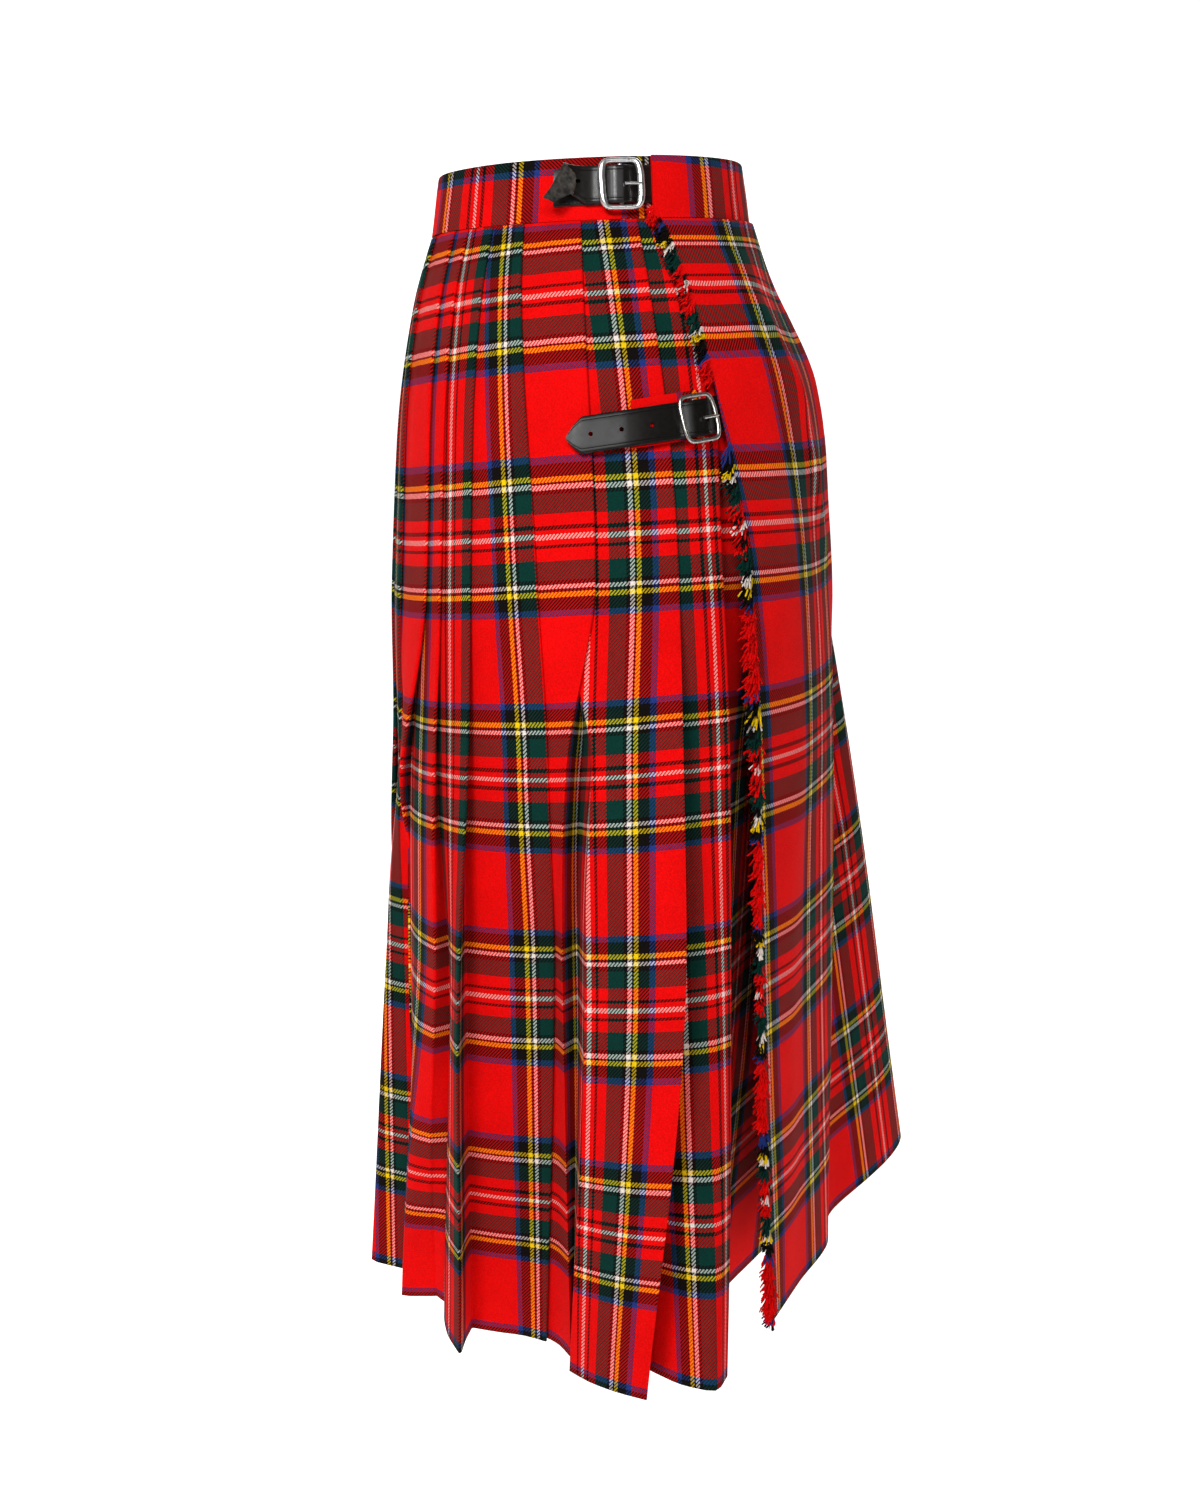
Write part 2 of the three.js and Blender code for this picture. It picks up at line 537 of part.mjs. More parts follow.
// Cloth tab that holds the hip buckle, sewn to the pleats.
const hipTab = [18.5, 2, -14].map((up) => [-27.5, -24, -21, -18, -15, -12, -10]
  .map((angle) => onHip(angle, up, 6.3)));
addPiece('hip_buckle_tab', wall(hipTab, TAB_THICK), WOOL);

export default kilt;
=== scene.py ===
import math

import bmesh
import bpy
import numpy as np
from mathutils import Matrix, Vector


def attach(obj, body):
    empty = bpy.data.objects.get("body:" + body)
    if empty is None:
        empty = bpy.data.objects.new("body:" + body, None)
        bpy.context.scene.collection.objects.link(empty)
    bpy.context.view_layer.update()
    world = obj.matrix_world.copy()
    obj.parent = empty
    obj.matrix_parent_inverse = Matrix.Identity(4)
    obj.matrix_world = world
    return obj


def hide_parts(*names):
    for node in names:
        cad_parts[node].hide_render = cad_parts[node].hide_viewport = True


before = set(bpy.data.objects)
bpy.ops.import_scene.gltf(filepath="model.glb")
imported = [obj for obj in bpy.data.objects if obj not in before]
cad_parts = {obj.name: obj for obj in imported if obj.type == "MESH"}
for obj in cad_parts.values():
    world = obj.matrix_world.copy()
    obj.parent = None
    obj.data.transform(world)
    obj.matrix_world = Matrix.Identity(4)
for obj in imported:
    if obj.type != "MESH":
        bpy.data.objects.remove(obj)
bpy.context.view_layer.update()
scene = bpy.context.scene

# Camera
# Level with the wearer's waist, square to their right side and tipped a little down.
lens = bpy.data.cameras.new("camera")
lens.lens = 42.65
lens.sensor_width = 36
lens.clip_start, lens.clip_end = 0.05, 60
camera = bpy.data.objects.new("camera", lens)
camera.location = (-1.362, -0.008, -0.101)
camera.rotation_euler = (math.radians(78), 0, math.radians(-90))
scene.collection.objects.link(camera)
scene.camera = camera
scene.view_settings.view_transform = "Standard"

# Pleated section
# One long length of worsted tartan, folded into knife pleats that open towards the back.
# They are pressed and stitched down to the fell, and hang free from there to the selvedge hem.
FIGURE = {  # half-widths of the skirt round the figure, by depth of cloth below the waist seam
    "drop": [0, 50, 127, 166, 250, 332, 380, 450, 520, 630, 735, 836],
    "right": [104, 128, 156, 167, 185, 197, 200, 199, 197, 193, 191, 190],
    "left": [104, 125, 152, 163, 180, 191, 197, 205, 212, 222, 230, 236],
    "back": [114, 128, 140, 143, 147.5, 151, 153.5, 157, 160, 167, 174, 181],
    "front": [114, 134, 156, 163.5, 174, 181, 184, 186, 188, 192, 197, 202],
}
PLEAT_DROPS = [0, 250, 380, 520, 836]
# A pleat's edge is an angle at all five drops. The rest are for thigh, knee and hem: how far the edge
# stands off, how far its fold laps past the next edge, how far the root stands off, and what its
# visible part bellies out. A fold that doesn't reach the next edge may have a hollow beside it.
PLEATS = [dict(zip(("edge", "stand", "lap", "root", "belly", "hollow"), row)) for row in (
    ([-36, -31, -31.2, -32, -26.4], [2, 0, 24], [4, 2, -3], [-4, -4, -12], [0, 5, 33]),
    ([-16.5, -20, -18.2, -17.8, -10], [17, 27, 35], [-6.5, -7.2, -0.8], [-2, -1, -18], [0, 0, 0],
     [-26, -34, -22]),
    ([2.6, -1.5, 5.6, 7.9, 5.8], [-2, -23, -41], [6, 5.7, 4.1], [-14, -41, -68], [-2, -8, -8]),
    ([22.7, 13.3, 11, 12.1, 16.5], [-7, -34, -61], [5, 6, 8], [-7, -16, -49], [0, 0, -7]),
    ([35, 32.6, 32, 32.8, 36.5], [3, 7, -16], [3.6, 2, -5], [-5, -19, -53], [0, 0, 0]),
    ([46.8, 43.4, 43.2, 45.5, 70], [4, -4, -48], [3, -3, -4], [-5, -12, -44], [0, 1, 27]),
    ([55, 49.8, 58, 70, 84], [5, -24, -30], [-2, -2, -2], [-8, -26, -40], [2, 0, 0]),
    ([74, 67, 70, 84, 88], [-4, -12, -31], [6, -1, -1], [-8, -16, -26], [0, 15, 35]),
    ([90, 84, 85, 96, 102], [-2, 0, -6], [8, 6, -1], [-8, -12, -22], [0, 1, 4]),
    ([106, 101, 102, 108, 120], [5, 9, 14], [8, 7, -2], [-6, -14, -28], [0, 0, 0]),
    ([122, 118, 119, 122, 136], [3, 3, 4], [8, 6, 1], [-6, -12, -22], [0, 1, 3]),
    ([138, 135, 136, 137, 151], [5, 9, 17], [8, 7, -1], [-6, -14, -30], [0, 0, 0]),
    ([154, 152, 153, 153, 163], [3, 3, 3], [8, 6, 1], [-6, -12, -24], [0, 1, 4]),
    ([171, 170, 170, 170, 177], [5, 10, 22], [8, 6, -2], [-6, -14, -30], [0, 0, 0]),
    ([188, 188, 188, 188, 191], [3, 5, 8], [0, 0, 0], [0, 0, 0], [0, 0, 0]),
)]
LEFT_SEAM = 206        # angle of the seam between the last pleat and the over-apron
PRESSED_LAP = 0.72     # hidden part of a pressed pleat, as a share of what shows
LAYER, WAIST_LAYER = 1.6, 1.2   # stand of a pressed fold, and of one under the waistband
FOLD = 0.9             # half the height of a pressed fold
SEAM_STAND = LAYER + 0.6
FREE_FROM = 250        # drop where the stitching of the pleats ends
CREASE = 1.1           # radius of a pressed crease
TILT = 0.04            # how much lower the skirt sits for each millimetre towards the back
HIP_LIFT = {"from": 180, "over": 380, "lift": 10}   # cloth taken up by the swell of the hips
WOOL_THICK = 1.1
SKIRT_DROP = 836
SETT = 188             # units in one repeat of the tartan
UNIT_AROUND = 0.775    # size of a unit round the body, and down the cloth
UNIT_DOWN = 0.878
# Units of the tartan at each fold's edge.
FOLD_UNITS = [670, 548, 405, 264, 122.5] + [122.5 - 141 * k for k in range(1, 11)]
FOLD_DRIFT = {         # folds that open off their own line of the tartan, in units at each drop
    0: [9, 1, 0, 0, 0], 1: [-7, 1, 7, 10, 0], 3: [-7, 1, 1, -1, -11], 4: [0, 0, 0, 1, 7],
    5: [0, 0, 0, 2, 26],
}
WEFT_START = 138       # drop of the middle of a wide red band


def through(keys, values, at):
    """Value at a place between keys, on a curve that doesn't overshoot them."""
    i = 0
    while i < len(keys) - 2 and at > keys[i + 1]:
        i += 1

    def slope(a):
        return (values[a + 1] - values[a]) / (keys[a + 1] - keys[a])

    def level(a, b):
        return 0 if a * b <= 0 else 2 * a * b / (a + b)

    before = slope(0) if i == 0 else level(slope(i - 1), slope(i))
    after = slope(i) if i + 2 == len(keys) else level(slope(i), slope(i + 1))
    span = keys[i + 1] - keys[i]
    t = min(max((at - keys[i]) / span, 0), 1)
    return ((2 * t ** 3 - 3 * t ** 2 + 1) * values[i] + (t ** 3 - 2 * t ** 2 + t) * span * before
            + (3 * t ** 2 - 2 * t ** 3) * values[i + 1] + (t ** 3 - t ** 2) * span * after)


def run_along(line):
    """Distance along a line to each of its points."""
    return np.concatenate([[0], np.cumsum(np.linalg.norm(np.diff(line, axis=0), axis=1))])


def half_widths(drop):
    """The figure's four half-widths at a drop."""
    return {side: through(FIGURE["drop"], sizes, drop) for side, sizes in FIGURE.items() if side != "drop"}


def plan_points(angles, stands, widths):
    """Points in plan, by angle from the wearer's right and stand off the figure."""
    a = np.radians(np.asarray(angles, float))
    across = np.where(np.cos(a) > 0, widths["right"], widths["left"])
    along = np.where(np.sin(a) > 0, widths["back"], widths["front"])
    out = np.stack([-np.cos(a) / across, np.sin(a) / along], -1)
    out /= np.linalg.norm(out, axis=-1, keepdims=True)
    plan = np.stack([-across * np.cos(a), along * np.sin(a)], -1)
    return plan + out * np.asarray(stands, float)[..., None]


def heights(plan, drop):
    """Cloth that travels outwards over the hips hangs less low."""
    length = np.linalg.norm(plan, axis=-1)
    across, along = (plan[..., n] / length / FIGURE[side][0] for n, side in enumerate(("right", "back")))
    travel = np.maximum(length - 1 / np.hypot(across, along), 0)
    slant = drop - np.sqrt(np.maximum(drop * drop - travel * travel, 0))
    t = min(max((drop - HIP_LIFT["from"]) / HIP_LIFT["over"], 0), 1)
    hip = HIP_LIFT["lift"] * t * t * (3 - 2 * t)
    return -(drop - np.minimum(slant + hip, 0.2 * drop)) - TILT * plan[..., 1]


def pleat_at(k, drop):
    """One pleat at one depth: its edge and how far it stands, and where its hidden fold lies."""
    pleat, after = PLEATS[k], PLEATS[k + 1:k + 3]

    def free(column, waist, hip):
        return through(PLEAT_DROPS, [waist, hip] + pleat[column], drop)

    at = {"edge": through(PLEAT_DROPS, pleat["edge"], drop), "stand": free("stand", WAIST_LAYER, LAYER)}
    if not after:
        return at | {"end": LEFT_SEAM, "root": SEAM_STAND, "hollow": 0, "belly": 0}
    pressed = [PRESSED_LAP * min(b - a for a, b in zip([pleat["edge"][i]] + [p["edge"][i] for p in after],
                                                       [p["edge"][i] for p in after])) for i in (0, 1)]
    lap = free("lap", *pressed)
    opened = min(max(-lap / 2, 0), 1) if "hollow" in pleat else 0
    return at | {"end": through(PLEAT_DROPS, after[0]["edge"], drop) + lap,
                 "root": free("root", -WAIST_LAYER, -LAYER), "belly": free("belly", 0, 0),
                 "hollow": free("hollow", 0, 0) * opened if opened else 0, "turn": FOLD - 2 * FOLD * opened}


def rounded(points, radii, extras):
    """Plan line with each corner rounded and each straight divided, always into as many points."""
    corners = [[points[0]]]
    for i in range(1, len(points) - 1):
        back, on = points[i - 1] - points[i], points[i + 1] - points[i]
        lengths = [max(np.linalg.norm(back), 1e-6), max(np.linalg.norm(on), 1e-6)]
        reach = [min(radii[i], 0.45 * size) for size in lengths]
        a, b = points[i] + back / lengths[0] * reach[0], points[i] + on / lengths[1] * reach[1]
        corners.append([a, 0.25 * a + 0.5 * points[i] + 0.25 * b, b])
    corners.append([points[-1]])
    line = []
    for i, corner in enumerate(corners):
        line += corner
        if i < len(extras):
            a, b = corner[-1], corners[i + 1][0]
            line += [a + (b - a) * (n + 1) / (extras[i] + 1) for n in range(extras[i])]
    return np.array(line)


def pleat_line(drop):
    """The pleats at one depth: their plan line, and the columns of the fold edges and roots."""
    angles, stands, radii, extras = [], [], [], []
    edges, roots = [], []
    column = 0

    def corner(angle, stand, radius, extra):
        nonlocal column
        angles.append(angle)
        stands.append(stand)
        radii.append(radius)
        extras.append(extra)
        column += (1 if len(angles) == 1 else 3) + extra

    loose = min(max((drop - FREE_FROM) / 130, 0), 1)
    previous = None
    for k in range(len(PLEATS)):
        p = pleat_at(k, drop)
        if previous:
            middle = (previous["root"] + p["stand"]) / 2
            corner((previous["end"] + p["edge"]) / 2, middle + previous["hollow"], 8, 1)
        else:
            corner(p["edge"] + 3.5, p["stand"] - 3, 1, 1)
        corner(p["edge"], p["stand"] - FOLD, CREASE, 1)
        edges.append(column - 1)
        corner(p["edge"], p["stand"] + FOLD, CREASE, 3)
        inward = p["root"] - p["stand"] - 2 * FOLD
        for share, bulge in ((1 / 3, 1), (2 / 3, 0.66)):
            corner(p["edge"] + (p["end"] - p["edge"]) * share,
                   p["stand"] + FOLD + inward * share + bulge * p["belly"], 3 + 6 * loose, 3)
        if k < len(PLEATS) - 1:
            corner(p["end"], p["root"] - p["turn"], CREASE, 1)
            roots.append(column - 1)
            corner(p["end"], p["root"] + p["turn"], CREASE, 1)
        else:
            corner(p["end"], p["root"], 1, 0)
        previous = p
    plan = plan_points(angles, stands, half_widths(drop))
    return rounded(plan, radii, extras[:-1]), edges, roots


def face_out(mesh):
    """Turns the faces of a closed mesh outwards."""
    shape = bmesh.new()
    shape.from_mesh(mesh)
    bmesh.ops.recalc_face_normals(shape, faces=shape.faces)
    if shape.calc_volume(signed=True) < 0:
        bmesh.ops.reverse_faces(shape, faces=shape.faces)
    shape.to_mesh(mesh)
    shape.free()


def piece_of(name, points, faces=(), chart=None, layer="cloth", sharp=None, turn_out=False, **values):
    """Object from points in millimetres, with its chart as UV and values kept on its points."""
    mesh = bpy.data.meshes.new(name)
    mesh.from_pydata((np.asarray(points) / 1000).tolist(), [], faces)
    if chart is not None:
        mesh.uv_layers.new(name=layer).data.foreach_set("uv", np.asarray(chart, np.float32).ravel())
    for label, value in values.items():
        value = np.asarray(value, np.float32)
        kind, slot = ("FLOAT", "value") if value.ndim == 1 else ("FLOAT_VECTOR", "vector")
        mesh.attributes.new(label, kind, "POINT").data.foreach_set(slot, value.ravel())
    mesh.polygons.foreach_set("use_smooth", [True] * len(mesh.polygons))
    if turn_out:
        face_out(mesh)
    if sharp:
        mesh.set_sharp_from_angle(angle=math.radians(sharp))
    piece = bpy.data.objects.new(name, mesh)
    scene.collection.objects.link(piece)
    return piece


def cloth_shell(name, lines, thick, across, down):
    """Closed thin shell on cloth lines: lines[row, column] in millimetres, across[row, column, side of
    the column] and down[row] in units of the tartan, kept on the mesh in repeats."""
    rows, columns = lines.shape[:2]
    plan = lines[..., :2]
    steps = plan[:, 1:] - plan[:, :-1]
    steps /= np.maximum(np.linalg.norm(steps, axis=-1, keepdims=True), 1e-9)
    comes = np.concatenate([steps[:, :1], steps], 1)
    goes = np.concatenate([steps, steps[:, -1:]], 1)
    both = comes + goes
    normal = np.stack([both[..., 1], -both[..., 0]], -1)
    normal /= np.maximum(np.linalg.norm(normal, axis=-1, keepdims=True), 1e-9)
    mitre = 1 / np.maximum(normal[..., 0] * comes[..., 1] - normal[..., 1] * comes[..., 0], 0.6)
    shift = np.zeros_like(lines)
    shift[..., :2] = normal * mitre[..., None] * thick / 2
    points = np.concatenate([(lines + shift).reshape(-1, 3), (lines - shift).reshape(-1, 3)])
    grid = np.arange(rows * columns).reshape(rows, columns)
    under = grid + rows * columns
    v = np.broadcast_to(np.asarray(down, float)[:, None], (rows, columns - 1))
    start, end = across[:, :-1, 1], across[:, 1:, 0]
    a = np.stack([start[:-1], v[:-1]], -1)
    b = np.stack([start[1:], v[1:]], -1)
    c = np.stack([end[1:], v[1:]], -1)
    d = np.stack([end[:-1], v[:-1]], -1)
    faces, charts = [], []

    def band(corners, units):
        faces.append(np.stack(corners, -1).reshape(-1, 4))
        charts.append(np.stack(units, -2).reshape(-1, 4, 2))

    band([grid[:-1, :-1], grid[1:, :-1], grid[1:, 1:], grid[:-1, 1:]], [a, b, c, d])
    band([under[:-1, :-1], under[:-1, 1:], under[1:, 1:], under[1:, :-1]], [a, d, c, b])
    band([grid[:-1, 0], under[:-1, 0], under[1:, 0], grid[1:, 0]], [a[:, 0], a[:, 0], b[:, 0], b[:, 0]])
    band([grid[:-1, -1], grid[1:, -1], under[1:, -1], under[:-1, -1]],
         [d[:, -1], c[:, -1], c[:, -1], d[:, -1]])
    band([grid[0, :-1], grid[0, 1:], under[0, 1:], under[0, :-1]], [a[0], d[0], d[0], a[0]])
    band([grid[-1, :-1], under[-1, :-1], under[-1, 1:], grid[-1, 1:]], [b[-1], b[-1], c[-1], c[-1]])
    faces, charts = np.concatenate(faces), np.concatenate(charts)
    p, q, r, s = (points[faces[:, n]] for n in range(4))
    if (np.cross(p, q) * r).sum() + (np.cross(p, r) * s).sum() < 0:
        faces, charts = faces[:, ::-1], charts[:, ::-1]
    return piece_of(name, points, faces.tolist(), charts / SETT, sharp=62)


def place(tree, kind, inputs=None, **settings):
    """A node with its inputs set or linked. kind is a shader node's short name or any node's full one."""
    node = tree.nodes.new(kind if "Node" in kind else "ShaderNode" + kind)
    for key, value in settings.items():
        setattr(node, key, value)
    for key, value in (inputs or {}).items():
        if isinstance(value, bpy.types.NodeSocket):
            tree.links.new(value, node.inputs[key])
        else:
            node.inputs[key].default_value = value
    return node


def sum_of(tree, operation, *values):
    """Result of a math node."""
    return place(tree, "Math", dict(enumerate(values)), operation=operation).outputs[0]


def spread(tree, value, low, high, least, most):
    """A value from low to high, spread from least to most."""
    return place(tree, "MapRange", {0: value, 1: low, 2: high, 3: least, 4: most}).outputs[0]


def mixed(tree, share, first, second):
    """Two colours mixed."""
    first, second = ((*c, 1) if isinstance(c, tuple) else c for c in (first, second))
    return place(tree, "Mix", {0: share, 6: first, 7: second}, data_type="RGBA").outputs[2]


def noise(tree, where, scale, detail):
    """Value of a noise texture."""
    return place(tree, "TexNoise", {"Vector": where, "Scale": scale, "Detail": detail}).outputs[0]


def scaled(tree, colour, by):
    """Colour made lighter or darker by a factor, or an offset made longer or shorter."""
    return place(tree, "VectorMath", {0: colour, 3: by}, operation="SCALE").outputs[0]


def relief_of(tree, height, strength, distance):
    """Normal of a surface with a fine relief."""
    return place(tree, "Bump", {"Strength": strength, "Distance": distance, "Height": height}).outputs[0]


def new_material(name, **constants):
    """Material with its tree and object coordinates. Constants are set on the shader's own sockets."""
    material = bpy.data.materials.new(name)
    material.use_nodes = True
    for label, value in constants.items():
        socket_of(material.node_tree, label).default_value = value
    return material, material.node_tree, place(material.node_tree, "TexCoord").outputs["Object"]


def socket_of(tree, label):
    """The shader's socket of that name."""
    return tree.nodes["Principled BSDF"].inputs[label.replace("_", " ")]


def dress(tree, **looks):
    """Links looks to the shader's sockets of those names."""
    for label, value in looks.items():
        tree.links.new(value, socket_of(tree, label))


def stripes_of(tree, units):
    """Thread colour of the tartan at a distance in units from the middle of the wide red."""
    turned = sum_of(tree, "DIVIDE", sum_of(tree, "PINGPONG", units, SETT / 2), SETT / 2)
    chart = place(tree, "ValToRGB", {"Fac": turned})
    chart.color_ramp.interpolation = "CONSTANT"
    stops = chart.color_ramp.elements
    while len(stops) < len(STRIPES):
        stops.new(0.5)
    for stop, (start, colour) in zip(stops, STRIPES):
        stop.position = start / (SETT / 2)
        stop.color = (*DYES[colour], 1)
    return chart.outputs["Color"]


DYES = {
    "red": (0.80, 0.0028, 0.0028), "blue": (0.016, 0.036, 0.19), "green": (0.003, 0.034, 0.026),
    "black": (0.0062, 0.0045, 0.004), "yellow": (0.88, 0.58, 0.005), "white": (0.83, 0.74, 0.68),
}
# Half a repeat, from the middle of the wide red: where each stripe starts, in units.
STRIPES = [(0, "red"), (33, "blue"), (38, "black"), (48, "yellow"), (52, "black"), (54, "white"),
           (58, "black"), (61, "green"), (76, "red"), (85, "black"), (88, "red"), (92, "white")]
THREADS = 1.22         # threads in a unit

wool, tree, where = new_material("tartan_wool", Roughness=0.88, Specular_IOR_Level=0.03,
                                 Sheen_Weight=0.01, Sheen_Roughness=0.5)
chart = place(tree, "SeparateXYZ", {0: place(tree, "UVMap", uv_map="cloth").outputs[0]})
warp, weft = (sum_of(tree, "MULTIPLY", chart.outputs[n], SETT * THREADS) for n in (0, 1))
warp_thread, weft_thread = sum_of(tree, "FLOOR", warp), sum_of(tree, "FLOOR", weft)
warp_dye, weft_dye = (stripes_of(tree, sum_of(tree, "DIVIDE", sum_of(tree, "ADD", t, 0.5), THREADS))
                      for t in (warp_thread, weft_thread))
diagonal = sum_of(tree, "FRACT", sum_of(tree, "DIVIDE", sum_of(tree, "ADD", warp_thread, weft_thread), 4.0))
on_top = sum_of(tree, "LESS_THAN", diagonal, 0.5)
cloth = mixed(tree, on_top, weft_dye, warp_dye)
# Painted shade: where threads of two dyes cross, the colour is darkened by the ratio of the dyes' mean taken
# in gamma space to their plain mean, standing in for the shade between the raised threads.
toned = [place(tree, "Gamma", {0: dye, 1: 1 / 2.2}).outputs[0] for dye in (warp_dye, weft_dye)]
seen = place(tree, "Gamma", {0: mixed(tree, 0.5, *toned), 1: 2.2}).outputs[0]
plain = mixed(tree, 0.5, warp_dye, weft_dye)
painted_thread_shade = place(tree, "VectorMath", {0: seen, 1: plain}, operation="DIVIDE").outputs[0]
cloth = place(tree, "VectorMath", {0: cloth, 1: painted_thread_shade}, operation="MULTIPLY").outputs[0]
nap = noise(tree, where, 900, 1)
tone = sum_of(tree, "MULTIPLY", spread(tree, noise(tree, where, 26, 3), 0.3, 0.7, 0.93, 1.04),
              spread(tree, nap, 0.3, 0.7, 0.86, 1.1))
ridges = []
for threads in (warp, weft):
    middle = sum_of(tree, "SUBTRACT", sum_of(tree, "FRACT", threads), 0.5)
    hollow = sum_of(tree, "MULTIPLY", sum_of(tree, "MULTIPLY", middle, middle), 3.2)
    ridges.append(sum_of(tree, "SUBTRACT", 1.0, hollow))
relief = place(tree, "Mix", {0: on_top, 2: ridges[1], 3: ridges[0]}, data_type="FLOAT").outputs[0]
relief = sum_of(tree, "ADD", relief, sum_of(tree, "MULTIPLY", nap, 0.5))
dress(tree, Base_Color=scaled(tree, cloth, tone), Normal=relief_of(tree, relief, 0.35, 0.0003))

pleat_drops = np.linspace(0, SKIRT_DROP, 85)
lines, across = [], []
for drop in pleat_drops:
    plan, edges, roots = pleat_line(drop)
    lines.append(np.column_stack([plan, heights(plan, drop)]))
    run = run_along(plan)
    units = np.zeros((len(plan), 2))
    bounds = [0] + roots + [len(plan) - 1]
    for k, (start, end) in enumerate(zip(bounds, bounds[1:])):
        drift = through(PLEAT_DROPS, FOLD_DRIFT[k], drop) if k in FOLD_DRIFT else 0
        here = FOLD_UNITS[k] + drift - (run[start:end + 1] - run[edges[k]]) / UNIT_AROUND
        units[start:end, 1] = here[:-1]
        units[start + 1:end + 1, 0] = here[1:]
    across.append(units)
lines, across = np.array(lines), np.array(across)
pleats = cloth_shell("pleats", lines, WOOL_THICK, across, (pleat_drops - WEFT_START) / UNIT_DOWN)
pleats.data.materials.append(wool)
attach(pleats, "root")
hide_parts("pleated_section")

# Over-apron
# The plain outer front panel, cut in one with the pleats' last length. It wraps from the left
# side round the front to the wearer's right, where its raw edge is left fringed.
APRON_DROPS = [0, 50, 130, 250, 380, 520, 836]
OVER_APRON = {  # folds in plan, x and y at each drop, from the left side to the fringed edge
    "left turn": [[78, -83.5], [98, -91], [126, -123], [152, -138], [178, -154], [203, -174], [246, -222]],
    "far ridge": [[42, -110.7], [59, -118], [83, -150], [98, -179], [114, -207], [136, -234], [162, -284]],
    "valley": [[0, -120], [7, -133.5], [20, -164.5], [50, -174], [64, -172], [60, -184], [60, -208]],
    "near ridge": [[-42, -111.4], [-48.5, -127], [-51, -158], [-6, -181], [6, -190], [12, -195], [4, -197]],
    "near flank": [[-75.8, -88.4], [-91.3, -106], [-108, -128], [-105, -149],
                   [-87, -157], [-84, -153], [-52, -168]],
    "fringed edge": [[-101.6, -50], [-120.6, -65.8], [-142, -86], [-155, -110],
                     [-144, -120], [-137, -124], [-112, -141]],
}
# Units of the tartan at the fringed edge, which slants a little across the stripes.
EDGE_UNITS = {"drop": [0, 65, 125, 306, 430, 520, 836], "units": [-20, -25, -33, -48, -57, -66, -72]}
# Cloth eased into the drag folds under the waist draws the stripes towards the fringed edge.
EASE = {"drop": [0, 25, 55, 85, 120, 150, 200, 836], "units": [0, 11, 14, 14, 8, 4, 0, 0]}
# This panel hangs a little low below the knee.
APRON_SAG = {"drop": [0, 330, 430, 520, 650, 836], "sag": [0, 0, 4, 8, 8, 0]}
SEAM_GAP = 0.15        # between the panel and the last pleat, which it is cut in one with
APRON_ROWS, APRON_COLUMNS = 140, 130


def apron_plan(folds, start, drop, columns):
    """Plan line of an apron: a spline through its folds."""
    knots = [np.array(start)]
    for plan in folds.values():
        knots.append(np.array([through(APRON_DROPS, places, drop) for places in zip(*plan)]))
    last = len(knots) - 1
    line = []
    for t in np.linspace(0, last, columns):
        i = min(int(t), last - 1)
        w = t - i
        p0, p1, p2, p3 = knots[max(i - 1, 0)], knots[i], knots[i + 1], knots[min(i + 2, last)]
        v0, v1 = (p2 - p0) / 2, (p3 - p1) / 2
        line.append((2 * p1 - 2 * p2 + v0 + v1) * w ** 3
                    + (3 * p2 - 3 * p1 - 2 * v0 - v1) * w ** 2 + v0 * w + p1)
    return np.array(line)


def moved_out(line, amount):
    """Plan line moved square to itself, away from the figure."""
    along = np.gradient(line, axis=0)
    along /= np.maximum(np.linalg.norm(along, axis=1, keepdims=True), 1e-9)
    out = np.column_stack([along[:, 1], -along[:, 0]])
    out *= np.sign((out * line).sum(1).mean())
    return line + out * np.asarray(amount)[:, None]


def soft_folds(run, drop, folds):
    """Height of soft folds in hanging cloth. A fold is a ridge from one point of the cloth to another."""
    high = np.zeros(len(run))
    for fold in folds:
        (s0, d0), (s1, d1) = fold["from"], fold["to"]
        length = math.hypot(s1 - s0, d1 - d0)
        along = ((run - s0) * (s1 - s0) + (drop - d0) * (d1 - d0)) / length ** 2
        aside = ((run - s0) * (d1 - d0) - (drop - d0) * (s1 - s0)) / length
        fade = np.clip(np.minimum(along, 1 - along) / 0.35 + 0.35, 0, 1)
        high += fold["high"] * fade * fade * (3 - 2 * fade) * np.exp(-(aside / fold["wide"]) ** 2)
    return high


OVER_FOLDS = [  # run from the fringed edge, and drop
    {"from": (95, 150), "to": (60, 60), "wide": 9, "high": 2.2},
    {"from": (120, 215), "to": (78, 110), "wide": 11, "high": 2.6},
    {"from": (150, 260), "to": (100, 170), "wide": 13, "high": 2.4},
    {"from": (60, 330), "to": (40, 800), "wide": 26, "high": 3.0},
    {"from": (128, 34), "to": (176, 210), "wide": 9, "high": 3.2},
    {"from": (150, 120), "to": (190, 330), "wide": 12, "high": 2.6},
    {"from": (300, 60), "to": (330, 300), "wide": 22, "high": 2.5},
    {"from": (230, 20), "to": (240, 180), "wide": 16, "high": 2.0},
]
apron_drops = np.linspace(0, SKIRT_DROP, APRON_ROWS)
lines, across = [], []
for drop in apron_drops:
    widths = half_widths(drop)
    gap = math.degrees(SEAM_GAP / np.linalg.norm(plan_points([LEFT_SEAM], [SEAM_STAND], widths)[0]))
    start = plan_points([LEFT_SEAM + gap], [SEAM_STAND], widths)[0]
    plan = apron_plan(OVER_APRON, start, drop, APRON_COLUMNS)
    run = run_along(plan)
    from_edge = run[-1] - run
    # The soft folds die away towards the waistband and both edges.
    ease = np.clip(np.minimum(from_edge / 12, run / 20), 0, 1) * min(drop / 30, 1)
    plan = moved_out(plan, soft_folds(from_edge, drop, OVER_FOLDS) * ease)
    sag = through(APRON_SAG["drop"], APRON_SAG["sag"], drop)
    lines.append(np.column_stack([plan, heights(plan, drop) - sag]))
    eased = through(EASE["drop"], EASE["units"], drop) * np.clip(from_edge / 90, 0, 1)
    units = through(EDGE_UNITS["drop"], EDGE_UNITS["units"], drop) + from_edge / UNIT_AROUND + eased
    across.append(np.column_stack([units, units]))
